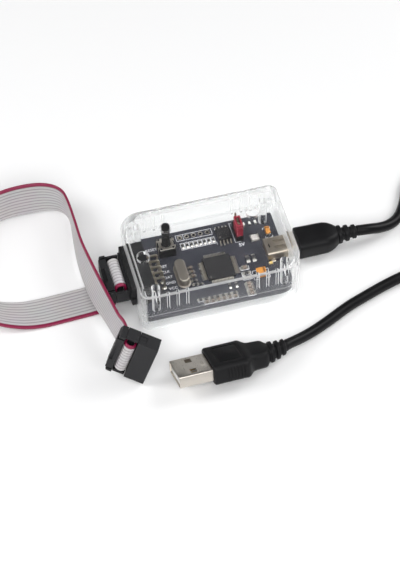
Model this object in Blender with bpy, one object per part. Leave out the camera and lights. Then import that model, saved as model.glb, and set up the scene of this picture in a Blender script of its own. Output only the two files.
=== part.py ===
"""USB microcontroller programmer: a clear two-shell case with its circuit board, a ribbon lead with
two ten-way sockets, and a USB lead with a mini plug and a full-size plug.

The origin is the middle of the case's underside. +X runs to the end where the USB lead plugs in,
-Y is the long front side and +Z is up. All lengths are in metres.
"""

import math

import bmesh
import bpy
from mathutils import Matrix, Vector

MM = 0.001

# Clear case
CASE_LENGTH = 58.4 * MM
CASE_DEPTH = 39.2 * MM
CASE_HEIGHT = 17.8 * MM
CASE_WALL = 1.8 * MM
CASE_PARTING = 7.7 * MM
PARTING_GAP = 0.1 * MM
BIG_CORNER = 8.0 * MM
SMALL_CORNER = 3.0 * MM
LID_EDGE = 0.8 * MM
POST_INSET = (6.0 * MM, 5.6 * MM)
POST_RADIUS = 1.5 * MM
PEG_RADIUS = 0.8 * MM
PEG_LENGTH = 3.0 * MM
PEG_CLEARANCE = 0.3 * MM
WEB = 1.1 * MM
WEB_DROP = 4.0 * MM
RIB = 0.9 * MM
RIB_DEPTH = 1.0 * MM
RIB_PITCH = 3.45 * MM
RIB_FROM_END = 9.6 * MM
STANDOFF_RADIUS = 2.2 * MM
LID_HOLE_RADIUS = 2.4 * MM
LID_HOLE_FROM_END = 11.1 * MM
LID_HOLE_Y = 9.25 * MM
LEFT_HOLE_RADIUS = 2.2 * MM
LEFT_HOLE_FROM_END = 4.9 * MM
STANDOFF_SINK = 0.5 * MM
FOOT_EDGE = 0.6 * MM
OVERLAP = 0.5 * MM
PAST = 1 * MM

# Circuit board
BOARD_THICKNESS = 1.6 * MM
BOARD_GAP = 0.35 * MM
BOARD_BOTTOM = 2.8 * MM
BOARD_HOLE_RADIUS = 0.5 * MM
SPARE_HOLES_START = (-7.4 * MM, 14.5 * MM)
FIT = 0.3 * MM
FINE_FIT = 0.1 * MM

# Ten-way box header and the sockets that fit it
PITCH = 2.54 * MM
PIN = 0.64 * MM
HEADER_LENGTH = 20.32 * MM
HEADER_HEIGHT = 8.9 * MM
HEADER_DEPTH = 8.5 * MM
HEADER_BACK = 1.75 * MM
HEADER_PROUD = 1.75 * MM
HEADER_Y = -0.6 * MM
SOCKET_LENGTH = 17.3 * MM
SOCKET_THICKNESS = 6.0 * MM
SOCKET_BODY = 7.25 * MM
SOCKET_BAR = 2.65 * MM
LOOSE_SOCKET_CORNER = (-9.66 * MM, -29.8 * MM, 20.55 * MM)
SOCKET_CLEARANCE = 0.2 * MM
KEY_WIDTH = 4.0 * MM
KEY_HEIGHT = 0.8 * MM
CONTACT_HOLE = 1.0 * MM
CONTACT_DEPTH = 6.2 * MM
UPPER_PINS_BEND = 4.3 * MM
PIN_TIP_INSET = 0.9 * MM
PIN_THROUGH = 0.6 * MM
PIN_TAPER = 0.5 * MM
NOTCH_HALF_WIDTH = 3.0 * MM
NOTCH_DEPTH = 0.8 * MM
NOTCH_LENGTH = 1.2 * MM
KEY_BACK, KEY_FRONT = 1.4 * MM, 1.2 * MM

# Ribbon cable
RIBBON_WIDTH = 12.7 * MM
RIBBON_THICKNESS = 0.9 * MM
COVER_THICKNESS = 2.4 * MM
FOLD_LEG = 1.8 * MM
RIBBON_DROP = (-0.15 * MM, -0.15 * MM, -1.3 * MM)
FOLD_STEPS = 8
FLOOR_GAP = 0.05 * MM

# Reset switch
SWITCH_SIDE = 6.0 * MM
SWITCH_HEIGHT = 3.5 * MM
SWITCH_FROM_CENTRE = (-13.5 * MM, 10.1 * MM)
BUTTON_RADIUS = 1.5 * MM
BUTTON_FLANGE_RADIUS = 2.0 * MM
BUTTON_PROUD = 0.8 * MM
BUTTON_HOLE_CLEARANCE = 0.4 * MM
BUTTON_EDGE = 0.25 * MM
NUB_RADIUS, NUB_HEIGHT = 0.9 * MM, 0.45 * MM
NUB_GAP = 0.05 * MM
WELL_CLEARANCE = 0.2 * MM
WELL_FLOOR = 1.2 * MM
PLATE_CLEARANCE = 0.15 * MM
DOME_PROFILE = ((1.9 * MM, 0), (1.9 * MM, 0.12 * MM), (1.1 * MM, 0.5 * MM), (0.3 * MM, 0.62 * MM))

# Voltage jumper
JUMPER_FROM_CENTRE = (13.1 * MM, 11.1 * MM)
JUMPER_BASE_HEIGHT = 2.5 * MM
JUMPER_PIN_HEIGHT = 8.5 * MM
JUMPER_SIZE = (2.4 * MM, 4.9 * MM, 6.0 * MM)
JUMPER_SLOT_CLEARANCE = 0.25 * MM
JUMPER_TAPER = 0.4 * MM

# Parts soldered on the board: place, then length, depth and height
MICROCONTROLLER = ((2.5 * MM, -2.4 * MM), (10 * MM, 10 * MM, 1.0 * MM))
INTERFACE_CHIP = ((8.0 * MM, 11.4 * MM), (5.2 * MM, 5.2 * MM, 1.6 * MM))
UPPER_TANTALUM = ((-5.6 * MM, 8.7 * MM), (1.6 * MM, 3.2 * MM, 1.6 * MM))
LOWER_TANTALUM = ((-12.9 * MM, -8.7 * MM), (3.5 * MM, 2.8 * MM, 1.9 * MM))
FUSE = ((-10.9 * MM, 7.1 * MM), (3.2 * MM, 2.5 * MM, 1.0 * MM))
POWER_LED = ((-8.4 * MM, -5.2 * MM), (1.6 * MM, 0.8 * MM, 0.7 * MM))
STATUS_LED_SIZE = (0.8 * MM, 1.5 * MM, 0.7 * MM)
STATUS_LEDS_FROM_END = (12.95 * MM, 10.75 * MM, 8.65 * MM)
STATUS_LED_Y = 14.1 * MM
CRYSTAL_CENTRE = (-10.95 * MM, -2.4 * MM)
CRYSTAL_PROFILE = (
    (2.35 * MM, 5.6 * MM, 0),
    (2.35 * MM, 5.6 * MM, 0.4 * MM),
    (1.9 * MM, 5.15 * MM, 0.5 * MM),
    (1.9 * MM, 5.15 * MM, 3.2 * MM),
    (1.65 * MM, 4.9 * MM, 3.5 * MM),
)

# USB connectors
MINI_WIDTH = 7.7 * MM
MINI_HEIGHT = 3.9 * MM
MINI_LENGTH = 9.2 * MM
MINI_Y = -0.3 * MM
SHEET = 0.3 * MM
MINI_PLUG_REACH = 6.6 * MM
MINI_PLUG_GRIP_GAP = 2.5 * MM
MINI_GRIP = (10.6 * MM, 7.6 * MM)
MINI_GRIP_LENGTH = 13.2 * MM
MINI_NECK = 2.0 * MM
MINI_RELIEF_LENGTH = 8.0 * MM
MINI_RELIEF_RADIUS = 3.1 * MM
MINI_PLUG_HALF = (3.4 * MM, 1.5 * MM)
MINI_PLUG_SHEET = 0.25 * MM
TONGUE_HALF = (3.3 * MM, 1.4 * MM)
TONGUE_ROOT = 1.6 * MM
BLADE_HALF = (2.2 * MM, 0.45 * MM)
BLADE_INSET = 1.2 * MM
USB_A_WIDTH = 12.0 * MM
USB_A_HEIGHT = 4.5 * MM
USB_A_EXPOSED = 12.2 * MM
USB_A_GRIP = (15.4 * MM, 7.7 * MM)
USB_A_RELIEF_START = 22.0 * MM
USB_A_RELIEF_LENGTH = 7.2 * MM
USB_A_RELIEF_RADIUS = 3.5 * MM
USB_A_RELIEF_BEND = -2.0 * MM
USB_A_CABLE_END = 0.9 * MM
USB_A_CABLE_SHIFT = 1.2
USB_A_WINDOW = (5.9 * MM, 3.3 * MM, 1.15 * MM)
USB_A_CONTACTS = (-3.5 * MM, -1.0 * MM, 1.0 * MM, 3.5 * MM)
USB_A_CONTACT_HALF = 0.5 * MM
USB_A_CONTACT_INSET = 1.4 * MM
USB_A_INSERT = 1.7 * MM
RELIEF_RIBS = 3
USB_A_FROM_END = (-41.8 * MM, -44.9 * MM, 6.5 * MM)
USB_A_YAW = math.radians(-176.7)
USB_A_PITCH = math.radians(2.8)
USB_A_ROLL = math.radians(21.3)

# USB cable: a 3.9 mm round cable, most of it in a coil beside the case
CABLE_DIAMETER = 3.9 * MM
COIL_FROM_END = 77.8 * MM
COIL_Y = 9.0 * MM
COIL_MIDDLE = 22.0 * MM
COIL_TURNS_WIDE = 3
COIL_LAYERS = 2

BOARD_TOP = BOARD_BOTTOM + BOARD_THICKNESS
HALF_LENGTH = CASE_LENGTH / 2
HALF_DEPTH = CASE_DEPTH / 2
LEFT_END = Vector((-HALF_LENGTH, 0, 0))
RIGHT_END = Vector((HALF_LENGTH, 0, 0))
LID_UNDER = CASE_HEIGHT - CASE_WALL
HEADER_MOUTH_X = -HALF_LENGTH - HEADER_PROUD
HEADER_BACK_X = HEADER_MOUTH_X + HEADER_DEPTH
HEADER_Z = BOARD_TOP + HEADER_HEIGHT / 2
MINI_MOUTH_X = HALF_LENGTH + 0.2 * MM
MINI_Z = BOARD_TOP + MINI_HEIGHT / 2
SOCKET_FOLD = 2 * RIBBON_THICKNESS + COVER_THICKNESS + 4 * FINE_FIT
SOCKET_REACH = SOCKET_BAR + SOCKET_FOLD + SOCKET_BODY
SOCKET_A_X = HEADER_BACK_X - HEADER_BACK - FIT - SOCKET_REACH


# ------------------------------------------------------------------ scene and small tools
def clear_scene():
    for obj in list(bpy.data.objects):
        bpy.data.objects.remove(obj, do_unlink=True)


def finish(name, colour, roughness=0.5, metallic=0.0, transmission=0.0):
    """A plain Principled material."""
    material = bpy.data.materials.new(name)
    material.use_nodes = True
    shader = material.node_tree.nodes["Principled BSDF"]
    shader.inputs["Base Color"].default_value = (*colour, 1)
    shader.inputs["Roughness"].default_value = roughness
    shader.inputs["Metallic"].default_value = metallic
    shader.inputs["Transmission Weight"].default_value = transmission
    return material


def solid(name, mesh_data, material, place=None, smooth=False):
    """An object from a bmesh, in its own frame, placed by a matrix."""
    bmesh.ops.recalc_face_normals(mesh_data, faces=mesh_data.faces)
    mesh = bpy.data.meshes.new(name)
    mesh_data.to_mesh(mesh)
    mesh_data.free()
    if smooth:
        mesh.shade_smooth()
        mesh.set_sharp_from_angle(angle=math.radians(35))
    obj = bpy.data.objects.new(name, mesh)
    bpy.context.scene.collection.objects.link(obj)
    if material:
        mesh.materials.append(material)
    if place is not None:
        obj.matrix_world = place
    return obj


def add_box(mesh_data, low, high):
    corners = [
        mesh_data.verts.new((x, y, z))
        for x in (low[0], high[0])
        for y in (low[1], high[1])
        for z in (low[2], high[2])
    ]
    for face in ((0, 1, 3, 2), (4, 6, 7, 5), (0, 4, 5, 1), (2, 3, 7, 6), (0, 2, 6, 4), (1, 5, 7, 3)):
        mesh_data.faces.new([corners[i] for i in face])


def boxes(*spans):
    mesh_data = bmesh.new()
    for low, high in spans:
        add_box(mesh_data, low, high)
    return mesh_data


def add_loft(mesh_data, rings):
    """Joins rings of equally many points into one closed skin with flat ends."""
    loops = [[mesh_data.verts.new(point) for point in ring] for ring in rings]
    count = len(loops[0])
    for lower, upper in zip(loops, loops[1:]):
        for i in range(count):
            j = (i + 1) % count
            mesh_data.faces.new((lower[i], lower[j], upper[j], upper[i]))
    mesh_data.faces.new(loops[0][::-1])
    mesh_data.faces.new(loops[-1])


def loft(rings):
    mesh_data = bmesh.new()
    add_loft(mesh_data, rings)
    return mesh_data


def circle(radius, sides, x=0.0, y=0.0):
    turn = 2 * math.pi / sides
    return [(x + radius * math.cos(i * turn), y + radius * math.sin(i * turn)) for i in range(sides)]


def rounded(half_x, half_y, radii, steps=4):
    """A rectangle's outline with its own radius at each corner: ++, -+, --, +-."""
    points = []
    for quarter, (sign_x, sign_y) in enumerate(((1, 1), (-1, 1), (-1, -1), (1, -1))):
        radius = radii[quarter]
        for step in range(steps + 1):
            angle = math.pi / 2 * (quarter + step / steps)
            points.append(
                (
                    sign_x * (half_x - radius) + radius * math.cos(angle),
                    sign_y * (half_y - radius) + radius * math.sin(angle),
                )
            )
    return points


def flat_ring(outline, z):
    return [(x, y, z) for x, y in outline]


def cross_ring(outline, x, y_shift=0.0, z_shift=0.0):
    """An outline stood up across the X axis."""
    return [(x, y + y_shift, z + z_shift) for y, z in outline]


def add_peg(mesh_data, x, y, radius, z_low, z_high, sides=16):
    outline = circle(radius, sides, x, y)
    add_loft(mesh_data, [flat_ring(outline, z_low), flat_ring(outline, z_high)])


def combine(obj, helper, operation):
    """A live Boolean with a hidden helper shape."""
    helper.hide_render = True
    helper.display_type = "WIRE"
    modifier = obj.modifiers.new(helper.name, "BOOLEAN")
    modifier.operation = operation
    modifier.object = helper
    modifier.solver = "EXACT"


def cut(obj, mesh_data, label, place=None):
    combine(obj, solid(f"{obj.name}_{label}", mesh_data, None, place), "DIFFERENCE")


def join(obj, mesh_data, label):
    combine(obj, solid(f"{obj.name}_{label}", mesh_data, None), "UNION")


# ------------------------------------------------------------------ clear case
def case_corners(inset=0.0):
    """The back-left and front-right corners are the large ones."""
    small = max(SMALL_CORNER - inset, 0.6 * MM)
    big = BIG_CORNER - inset
    return (small, big, small, big)


def case_ring(inset, z):
    return flat_ring(rounded(HALF_LENGTH - inset, HALF_DEPTH - inset, case_corners(inset), 6), z)


def post_places():
    x = HALF_LENGTH - POST_INSET[0]
    y = HALF_DEPTH - POST_INSET[1]
    return [(side * x, face * y) for side in (-1, 1) for face in (-1, 1)]


def header_slot(z_low, z_high):
    half = HEADER_LENGTH / 2 + FIT
    return (
        (-HALF_LENGTH - CASE_WALL, HEADER_Y - half, z_low),
        (-HALF_LENGTH + CASE_WALL + PAST, HEADER_Y + half, z_high),
    )


def usb_slot(z_low, z_high):
    half = MINI_WIDTH / 2 + FIT
    return (
        (HALF_LENGTH - CASE_WALL - PAST, MINI_Y - half, z_low),
        (HALF_LENGTH + CASE_WALL, MINI_Y + half, z_high),
    )


def rib_boxes():
    spans = []
    inner = HALF_DEPTH - CASE_WALL
    for side in (-1, 1):
        for step in range(3):
            x = side * (HALF_LENGTH - RIB_FROM_END - step * RIB_PITCH)
            for face in (-1, 1):
                near, far = sorted((face * (inner + OVERLAP), face * (inner - RIB_DEPTH)))
                spans.append(
                    (
                        (x - RIB / 2, near, CASE_PARTING + 2 * FIT),
                        (x + RIB / 2, far, LID_UNDER + OVERLAP),
                    )
                )
    return spans


def web_boxes():
    spans = []
    for x, y in post_places():
        side, face = math.copysign(1, x), math.copysign(1, y)
        low, high = LID_UNDER - WEB_DROP, LID_UNDER + OVERLAP
        x_ends = sorted((x - side * 0.4 * MM, side * (HALF_LENGTH - CASE_WALL / 2)))
        y_ends = sorted((y + face * 0.7 * MM, face * (HALF_DEPTH - CASE_WALL / 2)))
        spans.append(((x_ends[0], y - WEB / 2, low), (x_ends[1], y + WEB / 2, high)))
        spans.append(((x - WEB / 2, y_ends[0], low), (x + WEB / 2, y_ends[1], high)))
    return spans


def make_case_top(material):
    bottom = CASE_PARTING + PARTING_GAP
    outer = [
        case_ring(0, bottom),
        case_ring(0, CASE_HEIGHT - LID_EDGE),
        case_ring(LID_EDGE * 0.3, CASE_HEIGHT - LID_EDGE * 0.3),
        case_ring(LID_EDGE, CASE_HEIGHT),
    ]
    lid = solid("case_top", loft(outer), material)
    inside = [case_ring(CASE_WALL, bottom - PAST), case_ring(CASE_WALL, LID_UNDER)]
    cut(lid, loft(inside), "hollow")
    posts = bmesh.new()
    for x, y in post_places():
        shapes = (
            (PEG_RADIUS, BOARD_TOP + FIT - PEG_LENGTH),
            (PEG_RADIUS, BOARD_TOP + FIT),
            (POST_RADIUS, BOARD_TOP + FIT),
            (POST_RADIUS, LID_UNDER + OVERLAP),
        )
        add_loft(posts, [flat_ring(circle(r, 14, x, y), z) for r, z in shapes])
    join(lid, posts, "posts")
    join(lid, boxes(*web_boxes()), "webs")
    join(lid, boxes(*rib_boxes()), "ribs")
    cut(
        lid,
        boxes(
            header_slot(bottom - PAST, BOARD_TOP + HEADER_HEIGHT + FIT),
            usb_slot(bottom - PAST, BOARD_TOP + MINI_HEIGHT + FIT),
        ),
        "end_slots",
    )
    holes = bmesh.new()
    above, below = CASE_HEIGHT + PAST, LID_UNDER - FIT
    add_peg(holes, *SWITCH_FROM_CENTRE, BUTTON_RADIUS + BUTTON_HOLE_CLEARANCE, below, above, 20)
    add_peg(holes, HALF_LENGTH - LID_HOLE_FROM_END, LID_HOLE_Y, LID_HOLE_RADIUS, below, above, 24)
    add_peg(holes, LEFT_HOLE_FROM_END - HALF_LENGTH, HEADER_Y, LEFT_HOLE_RADIUS, below, above, 24)
    cut(lid, holes, "lid_holes")


def make_case_bottom(material):
    tray = [case_ring(FOOT_EDGE, 0), case_ring(0, FOOT_EDGE), case_ring(0, CASE_PARTING)]
    base = solid("case_bottom", loft(tray), material)
    top = CASE_PARTING + PAST
    inside = [case_ring(CASE_WALL, CASE_WALL), case_ring(CASE_WALL, top)]
    cut(base, loft(inside), "hollow")
    standoffs, holes = bmesh.new(), bmesh.new()
    for x, y in post_places():
        add_peg(standoffs, x, y, STANDOFF_RADIUS, CASE_WALL - STANDOFF_SINK, BOARD_BOTTOM - FINE_FIT)
        add_peg(holes, x, y, PEG_RADIUS + PEG_CLEARANCE, -PAST, BOARD_BOTTOM + PAST, 14)
    join(base, standoffs, "standoffs")
    cut(base, holes, "peg_holes")
    header_bottom = BOARD_TOP - FIT
    cut(base, boxes(header_slot(header_bottom, top), usb_slot(header_bottom, top)), "end_slots")


# ------------------------------------------------------------------ circuit board
def header_pin_bends():
    """The board holes' X for the lower and the upper row of the right-angle header."""
    upper = HEADER_BACK_X + UPPER_PINS_BEND
    return upper - PITCH, upper


def jumper_pin_places():
    x, y = JUMPER_FROM_CENTRE
    return [(x, y + (i - 1) * PITCH) for i in range(3)]


def spare_header_places():
    x, y = SPARE_HOLES_START
    return [(x + i * PITCH, y) for i in range(5)]


def make_board(material):
    inset = CASE_WALL + BOARD_GAP
    board = solid(
        "circuit_board",
        loft([case_ring(inset, BOARD_BOTTOM), case_ring(inset, BOARD_TOP)]),
        material,
    )
    holes = bmesh.new()
    low, high = BOARD_BOTTOM - PAST, BOARD_TOP + PAST
    for x, y in post_places():
        add_peg(holes, x, y, PEG_RADIUS + PEG_CLEARANCE, low, high, 14)
    rows = [(x, HEADER_Y + (i - 2) * PITCH) for x in header_pin_bends() for i in range(5)]
    for x, y in rows + jumper_pin_places() + spare_header_places():
        add_peg(holes, x, y, BOARD_HOLE_RADIUS, low, high, 10)
    cut(board, holes, "drilled_holes")


# ------------------------------------------------------------------ box header
def make_header(plastic, metal):
    half_y, half_z = HEADER_LENGTH / 2, HEADER_HEIGHT / 2
    centre = Matrix.Translation((HEADER_MOUTH_X, HEADER_Y, HEADER_Z + FINE_FIT / 2))
    shroud = solid(
        "header_shroud",
        boxes(((0, -half_y, -half_z), (HEADER_DEPTH, half_y, half_z))),
        plastic,
        centre,
    )
    cavity_y = SOCKET_LENGTH / 2 + SOCKET_CLEARANCE
    cavity_z = SOCKET_THICKNESS / 2 + SOCKET_CLEARANCE
    back = HEADER_DEPTH - HEADER_BACK
    cut(shroud, boxes(((-PAST, -cavity_y, -cavity_z), (back, cavity_y, cavity_z))), "cavity", centre)
    key = KEY_WIDTH / 2 + SOCKET_CLEARANCE
    cut(shroud, boxes(((-PAST, -key, -half_z - PAST), (back - PAST, key, 0))), "key_slot", centre)
    half_hole = PIN / 2 + FINE_FIT
    holes = bmesh.new()
    for row in (-0.5, 0.5):
        for i in range(5):
            y, z = (i - 2) * PITCH, row * PITCH
            low = (back - PAST, y - half_hole, z - half_hole)
            add_box(holes, low, (HEADER_DEPTH + PAST, y + half_hole, z + half_hole))
    cut(shroud, holes, "pin_holes", centre)
    for row, bend in enumerate(header_pin_bends()):
        z = HEADER_Z + FINE_FIT / 2 + (row - 0.5) * PITCH
        for i in range(5):
            y = HEADER_Y + (2 - i) * PITCH
            make_bent_pin(f"header_pin_{row * 5 + i + 1}", bend, y, z, metal)


def make_bent_pin(name, bend, y, z, material):
    half = PIN / 2
    tip = HEADER_MOUTH_X + PIN_TIP_INSET
    foot = BOARD_BOTTOM - PIN_THROUGH
    side = [
        (tip, z - half / 2),
        (tip + PIN_TAPER, z - half),
        (bend - half, z - half),
        (bend - half, foot),
        (bend + half, foot),
        (bend + half, z + half),
        (tip + PIN_TAPER, z + half),
        (tip, z + half / 2),
    ]
    rings = [[(x, y + shift, height) for x, height in side] for shift in (-half, half)]
    solid(name, loft(rings), material)


# ------------------------------------------------------------------ reset switch
def make_switch(plastic, metal):
    x, y = SWITCH_FROM_CENTRE
    place = Matrix.Translation((x, y, BOARD_TOP + FINE_FIT))
    half = SWITCH_SIDE / 2
    block = boxes(((-half, -half, 0), (half, half, SWITCH_HEIGHT)))
    base = solid("reset_switch_base", block, plastic, place)
    well = BUTTON_FLANGE_RADIUS + WELL_CLEARANCE
    pit = bmesh.new()
    add_peg(pit, 0, 0, well, WELL_FLOOR, SWITCH_HEIGHT + PAST, 20)
    cut(base, pit, "well", place)
    plate_low = SWITCH_HEIGHT + FINE_FIT
    plate = solid(
        "reset_switch_plate",
        boxes(((-half, -half, plate_low), (half, half, plate_low + SHEET))),
        metal,
        place,
    )
    hole = bmesh.new()
    add_peg(hole, 0, 0, BUTTON_RADIUS + PLATE_CLEARANCE, 0, plate_low + PAST, 20)
    cut(plate, hole, "hole", place)
    dome_low = WELL_FLOOR + FINE_FIT
    dome = [flat_ring(circle(r, 16), dome_low + z) for r, z in DOME_PROFILE]
    solid("reset_switch_dome", loft(dome), metal, place, True)
    nub_low = dome_low + DOME_PROFILE[-1][1] + NUB_GAP
    flange_low = nub_low + NUB_HEIGHT
    top = CASE_HEIGHT + BUTTON_PROUD - BOARD_TOP - FINE_FIT
    profile = (
        (NUB_RADIUS, nub_low),
        (NUB_RADIUS, flange_low),
        (BUTTON_FLANGE_RADIUS, flange_low),
        (BUTTON_FLANGE_RADIUS, SWITCH_HEIGHT - NUB_GAP),
        (BUTTON_RADIUS, SWITCH_HEIGHT - NUB_GAP),
        (BUTTON_RADIUS, top - BUTTON_EDGE),
        (BUTTON_RADIUS - BUTTON_EDGE, top),
    )
    rings = [flat_ring(circle(r, 20), z) for r, z in profile]
    solid("reset_button", loft(rings), plastic, place, True)


# ------------------------------------------------------------------ voltage jumper
def make_jumper(black, metal, red):
    x, y = JUMPER_FROM_CENTRE
    half = PITCH / 2
    low = BOARD_TOP + FINE_FIT
    top = BOARD_TOP + JUMPER_BASE_HEIGHT
    strip = boxes(((x - half, y - 3 * half, low), (x + half, y + 3 * half, top)))
    base = solid("jumper_header_base", strip, black)
    holes = bmesh.new()
    hole_half = PIN / 2 + FINE_FIT
    for px, py in jumper_pin_places():
        add_box(
            holes,
            (px - hole_half, py - hole_half, low - PAST),
            (px + hole_half, py + hole_half, top + PAST),
        )
    cut(base, holes, "pin_holes")
    for number, (px, py) in enumerate(jumper_pin_places(), 1):
        tip = BOARD_TOP + JUMPER_PIN_HEIGHT
        shapes = ((PIN / 2, BOARD_BOTTOM - PIN_THROUGH), (PIN / 2, tip - JUMPER_TAPER), (PIN / 4, tip))
        corners = ((1, 1), (-1, 1), (-1, -1), (1, -1))
        rings = [[(px + a * r, py + b * r, z) for a, b in corners] for r, z in shapes]
        solid(f"jumper_header_pin_{number}", loft(rings), metal)
    cap_y = y - PITCH / 2
    cap_low = top + FINE_FIT
    half_x, half_y = JUMPER_SIZE[0] / 2, JUMPER_SIZE[1] / 2
    cap_high = cap_low + JUMPER_SIZE[2]
    block = boxes(((x - half_x, cap_y - half_y, cap_low), (x + half_x, cap_y + half_y, cap_high)))
    cap = solid("voltage_jumper", block, red)
    hollow_half = PIN / 2 + JUMPER_SLOT_CLEARANCE
    cut(
        cap,
        boxes(
            (
                (x - hollow_half, cap_y - PITCH / 2 - hollow_half, cap_low - PAST),
                (x + hollow_half, cap_y + PITCH / 2 + hollow_half, cap_high + PAST),
            )
        ),
        "contact_slot",
    )


# ------------------------------------------------------------------ parts soldered on the board
def make_box_part(name, place, size, material):
    low = BOARD_TOP + FINE_FIT
    (x, y), half_x, half_y = place, size[0] / 2, size[1] / 2
    solid(name, boxes(((x - half_x, y - half_y, low), (x + half_x, y + half_y, low + size[2]))), material)


def from_usb_end(part):
    """A part stated from the case's USB end, as its place from the centre and its size."""
    (x, y), size = part
    return (HALF_LENGTH + x, y), size


def make_board_parts(black, metal, amber, white, gold):
    make_box_part("microcontroller", *MICROCONTROLLER, black)
    make_box_part("interface_chip", *INTERFACE_CHIP, black)
    make_box_part("tantalum_capacitor_1", *from_usb_end(UPPER_TANTALUM), amber)
    make_box_part("tantalum_capacitor_2", *from_usb_end(LOWER_TANTALUM), amber)
    make_box_part("resettable_fuse", *from_usb_end(FUSE), white)
    make_box_part("power_led", *from_usb_end(POWER_LED), gold)
    for number, from_end in enumerate(STATUS_LEDS_FROM_END, 1):
        make_box_part(f"status_led_{number}", (HALF_LENGTH - from_end, STATUS_LED_Y), STATUS_LED_SIZE, white)
    low = BOARD_TOP + FINE_FIT
    x, y = CRYSTAL_CENTRE
    rings = []
    for half_x, half_y, height in CRYSTAL_PROFILE:
        outline = rounded(half_x, half_y, [half_x * 0.99] * 4, 6)
        rings.append([(x + a, y + b, low + height) for a, b in outline])
    solid("crystal_can", loft(rings), metal, None, True)


# ------------------------------------------------------------------ USB socket on the board
def make_mini_socket(metal, black):
    half_y = MINI_WIDTH / 2
    back = MINI_MOUTH_X - MINI_LENGTH
    low, high = BOARD_TOP + FINE_FIT / 2, BOARD_TOP + MINI_HEIGHT
    shell = solid(
        "mini_usb_socket_shell",
        boxes(((back, MINI_Y - half_y, low), (MINI_MOUTH_X, MINI_Y + half_y, high))),
        metal,
    )
    cut(
        shell,
        boxes(
            (
                (back + SHEET, MINI_Y - half_y + SHEET, low + SHEET),
                (MINI_MOUTH_X + PAST, MINI_Y + half_y - SHEET, high - SHEET),
            )
        ),
        "inside",
    )
    tongue_back = back + SHEET + FINE_FIT
    root_y, root_z = TONGUE_HALF
    blade_y, blade_z = BLADE_HALF
    root = (
        (tongue_back, MINI_Y - root_y, MINI_Z - root_z),
        (tongue_back + TONGUE_ROOT, MINI_Y + root_y, MINI_Z + root_z),
    )
    blade = (
        (tongue_back + TONGUE_ROOT - OVERLAP, MINI_Y - blade_y, MINI_Z - blade_z),
        (MINI_MOUTH_X - BLADE_INSET, MINI_Y + blade_y, MINI_Z + blade_z),
    )
    tongue = solid("mini_usb_socket_tongue", boxes(root), black)
    join(tongue, boxes(blade), "blade")


# ------------------------------------------------------------------ moulded grips and USB plugs
def grip_rings(stations):
    """Rounded sections from (x, half width, half height, corner radius, side shift)."""
    return [
        cross_ring(rounded(half_w, half_h, [radius] * 4, 3), x, shift)
        for x, half_w, half_h, radius, shift in stations
    ]


def relief_stations(start, length, half, ribs, bend=0.0):
    """A ribbed strain relief that thins toward the cable."""
    stations = []
    pitch = length / ribs
    for i in range(ribs):
        fade = 1 - 0.12 * i
        for share, scale in ((0.0, 1.0), (0.55, 1.0), (0.6, 0.74), (0.95, 0.74)):
            along = (i + share) * pitch
            size = half * fade * scale
            stations.append((start - along, size, size, size * 0.8, bend * (along / length) ** 2))
    return stations


def mini_plug_frame():
    """X toward the socket on the board, Z up."""
    turned = Matrix.Rotation(math.pi, 4, "Z")
    return Matrix.Translation((HALF_LENGTH + MINI_PLUG_GRIP_GAP, MINI_Y, MINI_Z)) @ turned


def make_mini_plug(metal, black):
    place = mini_plug_frame()
    reach = MINI_PLUG_REACH + MINI_PLUG_GRIP_GAP
    half_y, half_z = MINI_PLUG_HALF
    shell = solid(
        "mini_plug_shell",
        boxes(((FINE_FIT, -half_y, -half_z), (reach, half_y, half_z))),
        metal,
        place,
    )
    inside_y, inside_z = half_y - MINI_PLUG_SHEET, half_z - MINI_PLUG_SHEET
    cut(
        shell,
        boxes(((FINE_FIT + OVERLAP, -inside_y, -inside_z), (reach + PAST, inside_y, inside_z))),
        "inside",
        place,
    )
    half_w, half_h = MINI_GRIP[0] / 2, MINI_GRIP[1] / 2
    long = MINI_GRIP_LENGTH
    stations = [
        (0, half_w - 0.3 * MM, half_h - 0.3 * MM, 1.6 * MM, 0),
        (-0.4 * MM, half_w, half_h, 1.9 * MM, 0),
        (-long + 2 * MM, half_w, half_h, 2.4 * MM, 0),
        (-long, half_w * 0.86, half_h * 0.92, 2.6 * MM, 0),
        (-long - 1.8 * MM, half_w * 0.62, half_h * 0.78, 2.4 * MM, 0),
    ]
    stations += relief_stations(-long - MINI_NECK, MINI_RELIEF_LENGTH, MINI_RELIEF_RADIUS, RELIEF_RIBS)
    solid("mini_plug_grip", loft(grip_rings(stations)), black, place, True)


def usb_a_frame():
    """X toward the plug's tip, Y across it and Z out of its upper face."""
    along = Vector(
        (
            math.cos(USB_A_YAW) * math.cos(USB_A_PITCH),
            math.sin(USB_A_YAW) * math.cos(USB_A_PITCH),
            math.sin(USB_A_PITCH),
        )
    )
    level = Vector((0, 0, 1)).cross(along).normalized()
    across = level * math.cos(USB_A_ROLL) + along.cross(level) * math.sin(USB_A_ROLL)
    normal = along.cross(across)
    frame = Matrix((along, across, normal)).transposed().to_4x4()
    return Matrix.Translation(RIGHT_END + Vector(USB_A_FROM_END)) @ frame


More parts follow.
